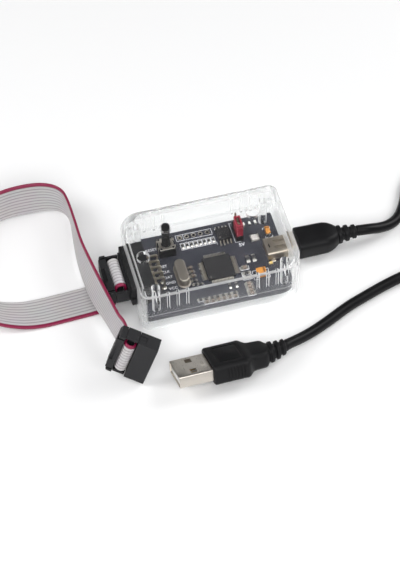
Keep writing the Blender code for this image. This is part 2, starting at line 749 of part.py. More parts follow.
def make_usb_a_plug(metal, black, white, gold):
    place = usb_a_frame()
    half_y, half_z = USB_A_WIDTH / 2, USB_A_HEIGHT / 2
    shell = solid(
        "usb_a_shell",
        boxes(((FINE_FIT, -half_y, -half_z), (USB_A_EXPOSED, half_y, half_z))),
        metal,
        place,
    )
    inside_y, inside_z = half_y - SHEET, half_z - SHEET
    cut(
        shell,
        boxes(((FINE_FIT + OVERLAP, -inside_y, -inside_z), (USB_A_EXPOSED + PAST, inside_y, inside_z))),
        "inside",
        place,
    )
    windows = bmesh.new()
    from_tip, hole_y, hole_half = USB_A_WINDOW
    hole_x = USB_A_EXPOSED - from_tip
    for side in (-1, 1):
        add_box(
            windows,
            (hole_x - hole_half, side * hole_y - hole_half, -half_z - PAST),
            (hole_x + hole_half, side * hole_y + hole_half, half_z + PAST),
        )
    cut(shell, windows, "latch_windows", place)
    insert_low = -inside_z + FINE_FIT
    insert_top = insert_low + USB_A_INSERT
    solid(
        "usb_a_insert",
        boxes(
            (
                (2 * OVERLAP, -inside_y + FINE_FIT, insert_low),
                (USB_A_EXPOSED - OVERLAP, inside_y - FINE_FIT, insert_top),
            )
        ),
        white,
        place,
    )
    for number, y in enumerate(USB_A_CONTACTS, 1):
        low = (USB_A_CONTACT_INSET, y - USB_A_CONTACT_HALF, insert_top + NUB_GAP)
        high = (USB_A_EXPOSED - USB_A_CONTACT_INSET, y + USB_A_CONTACT_HALF, low[2] + 2 * FINE_FIT)
        solid(f"usb_a_contact_{number}", boxes((low, high)), gold, place)
    half_w, half_h = USB_A_GRIP[0] / 2, USB_A_GRIP[1] / 2
    stations = [
        (0, half_w - 0.5 * MM, half_h - 0.5 * MM, 1.6 * MM, 0),
        (-0.6 * MM, half_w, half_h, 2.0 * MM, 0),
        (-12.6 * MM, half_w, half_h, 2.0 * MM, 0),
        (-14.2 * MM, half_w - 1.6 * MM, half_h - 0.3 * MM, 2.0 * MM, 0),
        (-15.4 * MM, half_w - 2.3 * MM, half_h - 0.4 * MM, 2.0 * MM, 0),
        (-19.6 * MM, half_w - 2.5 * MM, half_h - 0.5 * MM, 2.2 * MM, 0),
        (-20.8 * MM, half_w - 3.8 * MM, half_h - 0.6 * MM, 2.4 * MM, 0),
        (-21.6 * MM, 3.0 * MM, 3.0 * MM, 2.2 * MM, 0),
    ]
    stations += relief_stations(
        -USB_A_RELIEF_START, USB_A_RELIEF_LENGTH, USB_A_RELIEF_RADIUS, RELIEF_RIBS, USB_A_RELIEF_BEND
    )
    solid("usb_a_grip", loft(grip_rings(stations)), black, place, True)


# ------------------------------------------------------------------ ten-way sockets
def make_socket(letter, place, black):
    """X toward the mating face from the strain relief's end, Z out of the face with the fold."""
    half_y, half_z = SOCKET_LENGTH / 2, SOCKET_THICKNESS / 2
    bar = solid(
        f"socket_{letter}_strain_relief",
        boxes(((0, -half_y, -half_z), (SOCKET_BAR, half_y, half_z))),
        black,
        place,
    )
    notch = (
        (-PAST, -NOTCH_HALF_WIDTH, half_z - NOTCH_DEPTH),
        (NOTCH_LENGTH, NOTCH_HALF_WIDTH, half_z + PAST),
    )
    cut(bar, boxes(notch), "notch", place)
    cover_low = SOCKET_BAR + RIBBON_THICKNESS + 2 * FINE_FIT
    cover_high = cover_low + COVER_THICKNESS
    radius = COVER_THICKNESS / 2
    centre_x = cover_low + radius
    fold_z = half_z - RIBBON_THICKNESS - FINE_FIT - radius
    side = [(cover_low, -half_z), (cover_high, -half_z)]
    for step in range(FOLD_STEPS + 1):
        angle = math.pi * step / FOLD_STEPS
        side.append((centre_x + radius * math.cos(angle), fold_z + radius * math.sin(angle)))
    reach = RIBBON_WIDTH / 2 + FIT
    rings = [[(x, y, z) for x, z in side] for y in (-reach - OVERLAP, reach + OVERLAP)]
    cover = solid(f"socket_{letter}_cover", loft(rings), black, place)
    ends = bmesh.new()
    for face in (-1, 1):
        near, far = sorted((face * reach, face * half_y))
        add_box(
            ends,
            (SOCKET_BAR + FINE_FIT, near, -half_z),
            (SOCKET_BAR + SOCKET_FOLD - FINE_FIT, far, half_z),
        )
    combine(cover, solid(f"socket_{letter}_cover_ends", ends, None, place), "UNION")
    body_low = SOCKET_BAR + SOCKET_FOLD
    body = solid(
        f"socket_{letter}_body",
        boxes(((body_low, -half_y, -half_z), (SOCKET_REACH, half_y, half_z))),
        black,
        place,
    )
    key = boxes(
        (
            (body_low + KEY_BACK, -KEY_WIDTH / 2, -half_z - KEY_HEIGHT),
            (SOCKET_REACH - KEY_FRONT, KEY_WIDTH / 2, -half_z + OVERLAP),
        )
    )
    combine(body, solid(f"socket_{letter}_body_key", key, None, place), "UNION")
    holes = bmesh.new()
    for row in (-0.5, 0.5):
        for i in range(5):
            y, z = (i - 2) * PITCH, row * PITCH
            add_box(
                holes,
                (SOCKET_REACH - CONTACT_DEPTH, y - CONTACT_HOLE / 2, z - CONTACT_HOLE / 2),
                (SOCKET_REACH + PAST, y + CONTACT_HOLE / 2, z + CONTACT_HOLE / 2),
            )
    cut(body, holes, "contact_holes", place)


def socket_a_frame():
    return Matrix.Translation((SOCKET_A_X, HEADER_Y, HEADER_Z + FINE_FIT / 2))


def socket_b_frame():
    """The loose socket stands on its end and leans, its fold facing the front."""
    mating = Vector((0.833, -0.470, -0.291)).normalized()
    fold = Vector((-0.435, -0.882, 0.179))
    across = fold.cross(mating).normalized()
    fold = mating.cross(across)
    frame = Matrix((mating, across, fold)).transposed().to_4x4()
    top_corner = LEFT_END + Vector(LOOSE_SOCKET_CORNER)
    centre = top_corner - across * SOCKET_LENGTH / 2 + fold * SOCKET_THICKNESS / 2
    return Matrix.Translation(centre) @ frame


# ------------------------------------------------------------------ ribbon cable
# Free route between the sockets, in millimetres from the case's left end: the centre of the
# width, then the direction from the red edge to the plain edge. The lower strand lies flat, and
# the upper one stands on its plain edge.
RIBBON_ROUTE = (
    ((-7.5, -0.9, 2.3), (0.0, 1.0, 0.0)),
    ((-9.4, -1.1, 0.9), (-0.03, 1.0, 0.0)),
    ((-12.3, -1.5, 0.5), (-0.06, 1.0, 0.0)),
    ((-17, -1.9, 0.5), (-0.06, 1.0, 0.0)),
    ((-24.8, -2.3, 0.5), (-0.05, 1.0, 0.0)),
    ((-32.8, -2.6, 0.5), (0.0, 1.0, 0.0)),
    ((-40.8, -2.0, 0.9), (0.1, 1.0, -0.1)),
    ((-48.8, 0.8, 2.0), (0.4, 0.9, -0.28)),
    ((-55.3, 6.3, 3.6), (0.64, 0.6, -0.55)),
    ((-59, 14.0, 5.1), (0.66, 0.2, -0.85)),
    ((-59.4, 22.5, 6.1), (0.48, -0.03, -1.2)),
    ((-56.6, 30.5, 6.6), (0.26, -0.12, -1.5)),
    ((-51, 37.2, 6.7), (0.1, -0.2, -1.5)),
    ((-43.3, 42.2, 6.7), (0.0, -0.22, -1.0)),
    ((-34.3, 44.8, 6.7), (-0.01, -0.24, -1.0)),
    ((-25.4, 45.0, 6.7), (-0.01, -0.24, -0.97)),
    ((-19.4, 43.7, 6.9), (-0.03, -0.14, -0.99)),
    ((-15.4, 40.8, 7.0), (0.0, -0.04, -1.0)),
    ((-13.8, 35.5, 7.1), (0.05, -0.02, -1.0)),
    ((-14.1, 25.6, 7.3), (-0.06, -0.01, -1.0)),
    ((-14.5, 15.3, 7.8), (-0.14, -0.02, -0.99)),
    ((-13.9, 4.7, 8.1), (-0.23, -0.05, -0.97)),
    ((-12.8, -5.4, 9.0), (-0.23, -0.08, -0.95)),
    ((-11.4, -14.4, 10.1), (-0.18, -0.04, -0.97)),
    ((-10.2, -22.0, 10.7), (-0.15, 0.0, -0.98)),
    ((-9.4, -26.4, 11.1), (-0.2, 0.0, -0.96)),
)


def fold_side():
    """The ribbon's centre line through a socket, in its frame: cut end, fold, way out."""
    half_z = SOCKET_THICKNESS / 2
    out_x = SOCKET_BAR + FINE_FIT + RIBBON_THICKNESS / 2
    in_x = SOCKET_BAR + SOCKET_FOLD - FINE_FIT - RIBBON_THICKNESS / 2
    radius = (in_x - out_x) / 2
    top_z = half_z - RIBBON_THICKNESS / 2 - radius
    points = [(in_x, -half_z), (in_x, top_z - FOLD_LEG)]
    for step in range(FOLD_STEPS + 1):
        angle = math.pi * step / FOLD_STEPS
        points.append((out_x + radius + radius * math.cos(angle), top_z + radius * math.sin(angle)))
    points += [(out_x, top_z - FOLD_LEG), (out_x, -half_z)]
    return points


def catmull(points, steps):
    """A smooth curve through the points."""
    ends = [points[0] * 2 - points[1], *points, points[-1] * 2 - points[-2]]
    curve = []
    for i in range(1, len(ends) - 2):
        a, b, c, d = ends[i - 1 : i + 3]
        for step in range(steps):
            t = step / steps
            square, cube = (2 * a - 5 * b + 4 * c - d) * t**2, (3 * b - a - 3 * c + d) * t**3
            curve.append(0.5 * (2 * b + (c - a) * t + square + cube))
    curve.append(points[-1])
    return curve


def ribbon_stations():
    """(centre, unit width direction) along the whole ribbon."""
    frame_a, frame_b = socket_a_frame(), socket_b_frame()
    across_a = frame_a.to_3x3() @ Vector((0, 1, 0))
    across_b = frame_b.to_3x3() @ Vector((0, -1, 0))
    stations = [(frame_a @ Vector((x, 0, z)), across_a) for x, z in fold_side()]
    way_out = stations[-1][0]
    centres = [way_out, way_out + Vector(RIBBON_DROP)]
    centres += [LEFT_END + Vector(point) * MM for point, _ in RIBBON_ROUTE]
    widths = [across_a, across_a] + [Vector(width).normalized() for _, width in RIBBON_ROUTE]
    last = [(frame_b @ Vector((x, 0, z)), across_b) for x, z in reversed(fold_side())]
    centres.append(last[0][0])
    widths.append(across_b)
    for centre, width in zip(catmull(centres, 3)[1:-1], catmull(widths, 3)[1:-1]):
        stations.append((centre, width.normalized()))
    return stations + last


def make_ribbon(material):
    stations = ribbon_stations()
    rings = []
    for i, (centre, width) in enumerate(stations):
        before = stations[max(i - 1, 0)][0]
        after = stations[min(i + 1, len(stations) - 1)][0]
        tangent = (after - before).normalized()
        width = (width - tangent * width.dot(tangent)).normalized()
        normal = tangent.cross(width)
        reach = abs(width.z) * RIBBON_WIDTH / 2 + abs(normal.z) * RIBBON_THICKNESS / 2
        centre = centre + Vector((0, 0, max(0, FLOOR_GAP + reach - centre.z)))
        rings.append(
            [
                centre + width * (a * RIBBON_WIDTH / 2) + normal * (b * RIBBON_THICKNESS / 2)
                for a, b in ((1, 1), (-1, 1), (-1, -1), (1, -1))
            ]
        )
    solid("ribbon_cable", loft(rings), material, None, True)


# ------------------------------------------------------------------ USB cable
# Routes of the cable's centre in millimetres from the case's USB end: from the mini plug to the
# coil, and from the coil to the full-size plug. Their first and last points come from the plugs.
TO_COIL = (
    (29.8, -0.3, 5.8),
    (33.8, -0.4, 4.6),
    (37.8, 0.6, 3.2),
    (41.6, 2.9, 2.4),
    (44.7, 6.2, 2.1),
    (46.8, 10.2, 2.05),
)
FROM_COIL = (
    (63.8, -18.0, 3.2),
    (56.8, -18.6, 2.2),
    (47.8, -19.2, 2.0),
    (38.8, -20.6, 2.0),
    (29.8, -23.0, 2.0),
    (21.3, -26.0, 2.0),
    (13.3, -29.1, 2.0),
    (5.8, -32.9, 2.05),
    (-0.7, -36.1, 2.3),
    (-5.8, -38.4, 2.9),
    (-9.6, -40.0, 3.7),
)


def make_tube(name, points, material):
    """A round cable through the points, as a polyline curve with closed ends."""
    curve = bpy.data.curves.new(name, "CURVE")
    curve.dimensions = "3D"
    spline = curve.splines.new("POLY")
    spline.points.add(len(points) - 1)
    for slot, point in zip(spline.points, points):
        slot.co = (*point, 1)
    curve.bevel_depth = CABLE_DIAMETER / 2
    curve.bevel_resolution = 2
    curve.use_fill_caps = True
    curve.materials.append(material)
    bpy.context.scene.collection.objects.link(bpy.data.objects.new(name, curve))


def make_coil(material):
    """The outer shape of the coiled cable: a turned ring with rounded edges."""
    half_w = COIL_TURNS_WIDE * CABLE_DIAMETER / 2 + FINE_FIT
    half_h = COIL_LAYERS * CABLE_DIAMETER / 2
    section = rounded(half_w, half_h, [CABLE_DIAMETER / 2 * 0.95] * 4, 2)
    sides = 32
    mesh_data = bmesh.new()
    loops = []
    for i in range(sides):
        angle = 2 * math.pi * i / sides
        loops.append(
            [
                mesh_data.verts.new(
                    (
                        HALF_LENGTH + COIL_FROM_END + (COIL_MIDDLE + x) * math.cos(angle),
                        COIL_Y + (COIL_MIDDLE + x) * math.sin(angle),
                        half_h + z,
                    )
                )
                for x, z in section
            ]
        )
    count = len(section)
    for i in range(sides):
        near, far = loops[i], loops[(i + 1) % sides]
        for k in range(count):
            mesh_data.faces.new((near[k], far[k], far[(k + 1) % count], near[(k + 1) % count]))
    solid("usb_cable_coil", mesh_data, material, None, True)


def make_usb_cable(material):
    leave = mini_plug_frame() @ Vector((-MINI_GRIP_LENGTH - MINI_NECK - MINI_RELIEF_LENGTH - FIT, 0, 0))
    points = [leave] + [RIGHT_END + Vector(point) * MM for point in TO_COIL]
    make_tube("usb_cable_to_coil", catmull(points, 2), material)
    end_x = -USB_A_RELIEF_START - USB_A_RELIEF_LENGTH - USB_A_CABLE_END
    end = Vector((end_x, USB_A_RELIEF_BEND * USB_A_CABLE_SHIFT, 0))
    points = [RIGHT_END + Vector(point) * MM for point in FROM_COIL] + [usb_a_frame() @ end]
    make_tube("usb_cable_to_plug", catmull(points, 2), material)
    make_coil(material)


# ------------------------------------------------------------------ the whole object
def main():
    clear_scene()
    clear = finish("clear_plastic", (0.95, 0.96, 0.97), 0.05, 0, 1)
    black = finish("black_plastic", (0.02, 0.02, 0.022), 0.45)
    socket_black = finish("socket_plastic", (0.03, 0.03, 0.033), 0.5)
    chip_black = finish("chip_epoxy", (0.05, 0.05, 0.055), 0.6)
    mask = finish("solder_mask", (0.04, 0.04, 0.05), 0.4)
    steel = finish("nickel_steel", (0.55, 0.5, 0.44), 0.3, 1)
    gold = finish("gold_plate", (0.85, 0.62, 0.3), 0.3, 1)
    rubber = finish("soft_black", (0.012, 0.012, 0.013), 0.5)
    red = finish("red_plastic", (0.5, 0.03, 0.06), 0.4)
    white = finish("pale_plastic", (0.7, 0.68, 0.66), 0.5)
    amber = finish("amber_epoxy", (0.6, 0.3, 0.06), 0.5)
    grey = finish("grey_pvc", (0.45, 0.44, 0.45), 0.5)
    make_case_bottom(clear)
    make_case_top(clear)
    make_board(mask)
    make_header(black, steel)
    make_switch(black, steel)
    make_jumper(black, steel, red)
    make_board_parts(chip_black, steel, amber, white, gold)
    make_mini_socket(steel, black)
    make_mini_plug(steel, rubber)
    make_usb_a_plug(steel, rubber, white, gold)
    make_socket("a", socket_a_frame(), socket_black)
    make_socket("b", socket_b_frame(), socket_black)
    make_ribbon(grey)
    make_usb_cable(rubber)


main()
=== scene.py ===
"""The looks of a USB microcontroller programmer: a clear case with its circuit board, a ribbon lead
with two ten-way sockets, and a USB lead with a mini plug and a full-size plug.

The sections follow the object as it is put together, from the board out to the leads.
"""

import math

import bmesh
import bpy
from mathutils import Matrix, Vector


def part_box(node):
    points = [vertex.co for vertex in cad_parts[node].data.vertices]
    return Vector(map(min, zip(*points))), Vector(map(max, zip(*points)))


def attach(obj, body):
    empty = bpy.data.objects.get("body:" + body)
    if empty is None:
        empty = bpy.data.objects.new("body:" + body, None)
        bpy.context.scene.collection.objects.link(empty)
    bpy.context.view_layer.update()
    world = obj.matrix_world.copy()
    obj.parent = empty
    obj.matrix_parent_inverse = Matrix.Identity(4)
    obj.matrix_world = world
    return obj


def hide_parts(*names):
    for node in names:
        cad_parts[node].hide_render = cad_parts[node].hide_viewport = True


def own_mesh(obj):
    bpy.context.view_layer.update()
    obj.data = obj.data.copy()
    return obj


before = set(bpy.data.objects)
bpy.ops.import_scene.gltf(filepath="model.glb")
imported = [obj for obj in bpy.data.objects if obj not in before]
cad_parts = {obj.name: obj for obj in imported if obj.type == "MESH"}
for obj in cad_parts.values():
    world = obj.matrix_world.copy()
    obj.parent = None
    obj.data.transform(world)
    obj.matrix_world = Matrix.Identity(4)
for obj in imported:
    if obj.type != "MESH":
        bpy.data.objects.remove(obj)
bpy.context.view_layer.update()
MM = 0.001


# ---------------------------------------------------------------- bench, light and camera
# A white bench top under three large soft lights, as in a catalogue studio, in a pale surround
# with a dark band at mid height. The camera is a long lens that looks down on the case's front.
CAMERA_TURN = math.radians(-14.302)
CAMERA_RISE = math.radians(51.723)
CAMERA_ROLL = math.radians(0.77)
CAMERA_DISTANCE = 0.9156
CAMERA_LENS = 234.8
SURROUND_STRENGTH = 0.48
CAMERA_TARGET = Vector((-6.48, -10.71, 8.0)) * MM

to_camera = Vector(
    (
        math.sin(CAMERA_TURN) * math.cos(CAMERA_RISE),
        -math.cos(CAMERA_TURN) * math.cos(CAMERA_RISE),
        math.sin(CAMERA_RISE),
    )
)
level_right = Vector((math.cos(CAMERA_TURN), math.sin(CAMERA_TURN), 0))
level_up = to_camera.cross(level_right)
camera_right = level_right * math.cos(CAMERA_ROLL) - level_up * math.sin(CAMERA_ROLL)
camera_up = level_right * math.sin(CAMERA_ROLL) + level_up * math.cos(CAMERA_ROLL)


def set_inputs(node, values):
    for name, value in values.items():
        node.inputs[name].default_value = value


def add_node(tree, kind, values=None, **settings):
    """A new node with its settings first and then its input values."""
    node = tree.nodes.new(kind)
    for name, value in settings.items():
        setattr(node, name, value)
    set_inputs(node, values or {})
    return node


def join(tree, *wires):
    """Links nodes: each wire is a node, its output, the next node and its input."""
    for source, result, target, entry in wires:
        tree.links.new(source.outputs[result], target.inputs[entry])


def add_object(name, data, body=None, stands_for=()):
    """A new object in the scene, on its body and in place of its CAD nodes."""
    obj = bpy.data.objects.new(name, data)
    bpy.context.scene.collection.objects.link(obj)
    if body:
        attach(obj, body)
    if stands_for:
        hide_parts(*stands_for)
    return obj


lens = bpy.data.cameras.new("camera")
lens.sensor_fit = "HORIZONTAL"
lens.sensor_width = 36
lens.lens = CAMERA_LENS
lens.clip_start = 0.01
camera = add_object("camera", lens)
pose = Matrix((camera_right, camera_up, to_camera)).transposed().to_4x4()
pose.translation = CAMERA_TARGET + to_camera * CAMERA_DISTANCE
camera.matrix_world = pose
bpy.context.scene.camera = camera

bpy.context.scene.view_settings.view_transform = "Standard"


def studio_surround():
    """A pale surround with a dark band all round, so that flat clear plastic mirrors little."""
    world = bpy.data.worlds.new("surround")
    world.use_nodes = True
    tree = world.node_tree
    backdrop = tree.nodes["Background"]
    backdrop.inputs["Strength"].default_value = SURROUND_STRENGTH
    look = add_node(tree, "ShaderNodeTexCoord")
    parts = add_node(tree, "ShaderNodeSeparateXYZ")
    height = add_node(tree, "ShaderNodeValToRGB")
    height.color_ramp.elements[0].position = 0.0
    height.color_ramp.elements[0].color = (0.9, 0.91, 0.93, 1)
    height.color_ramp.elements[1].position = 1.0
    height.color_ramp.elements[1].color = (1, 1, 1, 1)
    for position, tone in ((0.3, 0.55), (0.5, 0.06), (0.86, 0.06), (0.96, 0.9)):
        stop = height.color_ramp.elements.new(position)
        stop.color = (tone, tone, tone * 1.03, 1)
    join(
        tree,
        (look, "Generated", parts, "Vector"), (parts, "Z", height, "Fac"),
        (height, "Color", backdrop, "Color"),
    )
    return world


bpy.context.scene.world = studio_surround()


def soft_light(name, size, watts, place, aim):
    lamp = bpy.data.lights.new(name, "AREA")
    lamp.shape = "RECTANGLE"
    lamp.size, lamp.size_y = size
    lamp.energy = watts
    obj = add_object(name, lamp)
    obj.location = place
    obj.rotation_euler = (Vector(aim) - Vector(place)).to_track_quat("-Z", "Y").to_euler()


soft_light("front_light", (0.9, 0.5), 6.0, (-0.1, -0.6, 0.62), (0, 0, 0))
soft_light("left_light", (0.4, 0.5), 3.0, (-0.6, 0.1, 0.5), (0, 0, 0.01))
soft_light("right_light", (0.4, 0.5), 3.0, (0.6, 0.1, 0.5), (0, 0, 0.01))


def plain_material(name, colour, roughness, metallic=0.0):
    """A new material with its Principled shader set, and that shader."""
    material = bpy.data.materials.new(name)
    material.use_nodes = True
    shader = material.node_tree.nodes["Principled BSDF"]
    shader.inputs["Base Color"].default_value = (*colour, 1)
    shader.inputs["Roughness"].default_value = roughness
    shader.inputs["Metallic"].default_value = metallic
    return material, shader


bench_data = bpy.data.meshes.new("bench")
bench_data.from_pydata([(-3, -3, 0), (3, -3, 0), (3, 3, 0), (-3, 3, 0)], [], [(0, 1, 2, 3)])
bench_data.materials.append(plain_material("bench_white", (0.9, 0.9, 0.9), 0.85)[0])
add_object("bench", bench_data)


# ---------------------------------------------------------------- circuit board
# A 1.6 mm glass-epoxy board under a dark satin lacquer, which shows the copper tracks beneath
# it as slightly lighter lines. The white print and the plated rings lie on its face.
BOARD_LOW, BOARD_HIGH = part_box("circuit_board")
BOARD_TOP = BOARD_HIGH.z
PRINT_THICKNESS = 0.03 * MM
PAD_THICKNESS = 0.06 * MM
PITCH = 2.54 * MM


def grain_group():
    """Fine colour, gloss and relief that change over a surface, from its own coordinates."""
    group = bpy.data.node_groups.new("surface_grain", "ShaderNodeTree")
    face = group.interface
    for name, kind in (
        ("Colour", "NodeSocketColor"),
        ("Worn Colour", "NodeSocketColor"),
        ("Scale", "NodeSocketFloat"),
        ("Gloss Low", "NodeSocketFloat"),
        ("Gloss High", "NodeSocketFloat"),
        ("Relief", "NodeSocketFloat"),
    ):
        face.new_socket(name, in_out="INPUT", socket_type=kind)
    for name, kind in (
        ("Colour", "NodeSocketColor"),
        ("Roughness", "NodeSocketFloat"),
        ("Normal", "NodeSocketVector"),
    ):
        face.new_socket(name, in_out="OUTPUT", socket_type=kind)
    given = add_node(group, "NodeGroupInput")
    result = add_node(group, "NodeGroupOutput")
    place = add_node(group, "ShaderNodeTexCoord")
    fine = add_node(group, "ShaderNodeTexNoise", {"Detail": 4})
    broad = add_node(group, "ShaderNodeTexNoise", {"Scale": 160, "Detail": 5})
    blend = add_node(group, "ShaderNodeMix", data_type="RGBA")
    gloss = add_node(group, "ShaderNodeMapRange", {"From Min": 0.3, "From Max": 0.7})
    bump = add_node(group, "ShaderNodeBump", {"Distance": 0.00005})
    join(
        group,
        (place, "Object", fine, "Vector"), (place, "Object", broad, "Vector"),
        (given, "Scale", fine, "Scale"), (broad, "Fac", blend, "Factor"),
        (given, "Colour", blend, "A"), (given, "Worn Colour", blend, "B"),
        (broad, "Fac", gloss, "Value"), (given, "Gloss Low", gloss, "To Min"),
        (given, "Gloss High", gloss, "To Max"), (fine, "Fac", bump, "Height"),
        (given, "Relief", bump, "Strength"), (blend, "Result", result, "Colour"),
        (gloss, "Result", result, "Roughness"), (bump, "Normal", result, "Normal"),
    )
    return group


surface_grain = grain_group()


def grained(name, colour, worn, gloss, scale, relief, metallic=0.0, shine=0.5):
    """A finish whose colour, gloss and relief vary by the grain group."""
    material, shader = plain_material(name, colour, gloss[0], metallic)
    shader.inputs["Specular IOR Level"].default_value = shine
    tree = material.node_tree
    grain = add_node(
        tree, "ShaderNodeGroup", {
            "Colour": (*colour, 1),
            "Worn Colour": (*worn, 1),
            "Scale": scale,
            "Gloss Low": gloss[0],
            "Gloss High": gloss[1],
            "Relief": relief,
        }, node_tree=surface_grain
    )
    join(
        tree,
        (grain, "Colour", shader, "Base Color"), (grain, "Roughness", shader, "Roughness"),
        (grain, "Normal", shader, "Normal"),
    )
    return material


def lacquer_finish():
    """Dark lacquer over copper, whose tracks show as slightly lighter lines."""
    material = grained(
        "board_lacquer", (0.019, 0.02, 0.028), (0.025, 0.026, 0.035), (0.36, 0.48), 3000, 0.15
    )
    tree = material.node_tree
    shader = tree.nodes["Principled BSDF"]
    place = add_node(tree, "ShaderNodeTexCoord")
    turn = add_node(tree, "ShaderNodeMapping", {"Rotation": (0, 0, math.radians(45))})
    tracks = add_node(
        tree, "ShaderNodeTexBrick", {
            "Scale": 260,
            "Mortar Size": 0.06,
            "Color1": (0.022, 0.023, 0.031, 1),
            "Color2": (0.017, 0.018, 0.025, 1),
            "Mortar": (0.033, 0.034, 0.044, 1),
        }
    )
    blend = add_node(tree, "ShaderNodeMix", {"Factor": 0.5}, data_type="RGBA")
    grain = next(node for node in tree.nodes if node.type == "GROUP")
    join(
        tree,
        (place, "Object", turn, "Vector"), (turn, "Vector", tracks, "Vector"),
        (grain, "Colour", blend, "A"), (tracks, "Color", blend, "B"),
        (blend, "Result", shader, "Base Color"),
    )
    return material


board_lacquer = lacquer_finish()
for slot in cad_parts["circuit_board"].material_slots:
    slot.material = board_lacquer


def add_block(mesh_data, low, high):
    corners = [
        mesh_data.verts.new((x, y, z))
        for x in (low[0], high[0])
        for y in (low[1], high[1])
        for z in (low[2], high[2])
    ]
    for face in ((0, 1, 3, 2), (4, 6, 7, 5), (0, 4, 5, 1), (2, 3, 7, 6), (0, 2, 6, 4), (1, 5, 7, 3)):
        mesh_data.faces.new([corners[i] for i in face])


def blocks(*spans):
    mesh_data = bmesh.new()
    for low, high in spans:
        add_block(mesh_data, low, high)
    return mesh_data


def add_loft(mesh_data, rings, closed=False):
    """Joins rings of equally many points: a skin with flat ends, or a closed loop of rings."""
    loops = [[mesh_data.verts.new(point) for point in ring] for ring in rings]
    count = len(loops[0])
    pairs = list(zip(loops, loops[1:]))
    if closed:
        pairs.append((loops[-1], loops[0]))
    for lower, upper in pairs:
        for i in range(count):
            j = (i + 1) % count
            mesh_data.faces.new((lower[i], lower[j], upper[j], upper[i]))
    if not closed:
        mesh_data.faces.new(loops[0][::-1])
        mesh_data.faces.new(loops[-1])


def loft(rings, closed=False):
    mesh_data = bmesh.new()
    add_loft(mesh_data, rings, closed)
    return mesh_data


def circle(radius, sides, x=0.0, y=0.0):
    turn = 2 * math.pi / sides
    return [(x + radius * math.cos(i * turn), y + radius * math.sin(i * turn)) for i in range(sides)]


def flat_ring(outline, z):
    return [(x, y, z) for x, y in outline]


def turned_rings(profile, sides=28, x=0.0, y=0.0):
    """Rings of a round shape, from its (radius, height) profile."""
    return [flat_ring(circle(radius, sides, x, y), z) for radius, z in profile]


SQUARE = ((1, 1), (-1, 1), (-1, -1), (1, -1))


def piece(name, mesh_data, material, body, bevel=0.0, place=None, stands_for=(), smooth=40, segments=2):
    """A finished piece on its body, with rounded edges, that stands for CAD nodes."""
    bmesh.ops.recalc_face_normals(mesh_data, faces=mesh_data.faces)
    mesh = bpy.data.meshes.new(name)
    mesh_data.to_mesh(mesh)
    mesh_data.free()
    if place is not None:
        mesh.transform(place)
    mesh.materials.append(material)
    obj = add_object(name, mesh)
    if bevel:
        mesh.shade_smooth()
        rounding = obj.modifiers.new("edges", "BEVEL")
        rounding.width = bevel
        rounding.segments = segments
        rounding.limit_method = "ANGLE"
        rounding.angle_limit = math.radians(35)
        rounding.harden_normals = True
        rounding.use_clamp_overlap = True
    elif smooth:
        mesh.shade_smooth()
        mesh.set_sharp_from_angle(angle=math.radians(smooth))
    if body:
        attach(obj, body)
    if stands_for:
        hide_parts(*stands_for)
    return obj


def final_mesh(obj, helpers=()):
    """The object's mesh with its modifiers applied. The object and its helpers are removed."""
    bpy.context.view_layer.update()
    mesh = bpy.data.meshes.new_from_object(obj.evaluated_get(bpy.context.evaluated_depsgraph_get()))
    for spent in (obj, *helpers):
        bpy.data.objects.remove(spent, do_unlink=True)
    return mesh


def row_tree():
    """Copies of a shape in a straight row."""
    tree = bpy.data.node_groups.new("row_of_pieces", "GeometryNodeTree")
    face = tree.interface
    for name, kind in (
        ("Geometry", "NodeSocketGeometry"),
        ("Count", "NodeSocketInt"),
        ("Step", "NodeSocketVector"),
        ("Finish", "NodeSocketMaterial"),
    ):
        face.new_socket(name, in_out="INPUT", socket_type=kind)
    face.new_socket("Geometry", in_out="OUTPUT", socket_type="NodeSocketGeometry")
    given = add_node(tree, "NodeGroupInput")
    line = add_node(tree, "GeometryNodeMeshLine")
    copies = add_node(tree, "GeometryNodeInstanceOnPoints")
    real = add_node(tree, "GeometryNodeRealizeInstances")
    paint = add_node(tree, "GeometryNodeSetMaterial")
    result = add_node(tree, "NodeGroupOutput")
    join(
        tree,
        (given, "Count", line, "Count"), (given, "Step", line, "Offset"),
        (line, "Mesh", copies, "Points"), (given, "Geometry", copies, "Instance"),
        (copies, "Instances", real, "Geometry"), (real, "Geometry", paint, "Geometry"),
        (given, "Finish", paint, "Material"), (paint, "Geometry", result, "Geometry"),
    )
    return tree


row_of_pieces = row_tree()


def row(name, mesh_data, count, step, material, body, place=None, stands_for=(), smooth=40):
    """A row of copies of a shape, made by the row tree and kept as one mesh."""
    seed = piece(f"{name}_seed", mesh_data, material, None, smooth=smooth)
    modifier = seed.modifiers.new("row", "NODES")
    modifier.node_group = row_of_pieces
    sockets = {
        item.name: item.identifier
        for item in row_of_pieces.interface.items_tree
        if item.item_type == "SOCKET" and item.in_out == "INPUT"
    }
    modifier[sockets["Count"]] = count
    modifier[sockets["Step"]] = step
    modifier[sockets["Finish"]] = material
    mesh = final_mesh(seed)
    mesh.name = name
    if place is not None:
        mesh.transform(place)
    return add_object(name, mesh, body, stands_for)


white_print = grained("white_print", (0.74, 0.74, 0.76), (0.62, 0.62, 0.65), (0.5, 0.7), 4000, 0.2)
tinned_copper = grained(
    "tinned_copper", (0.56, 0.52, 0.45), (0.46, 0.43, 0.37), (0.3, 0.45), 2500, 0.35, 1.0
)


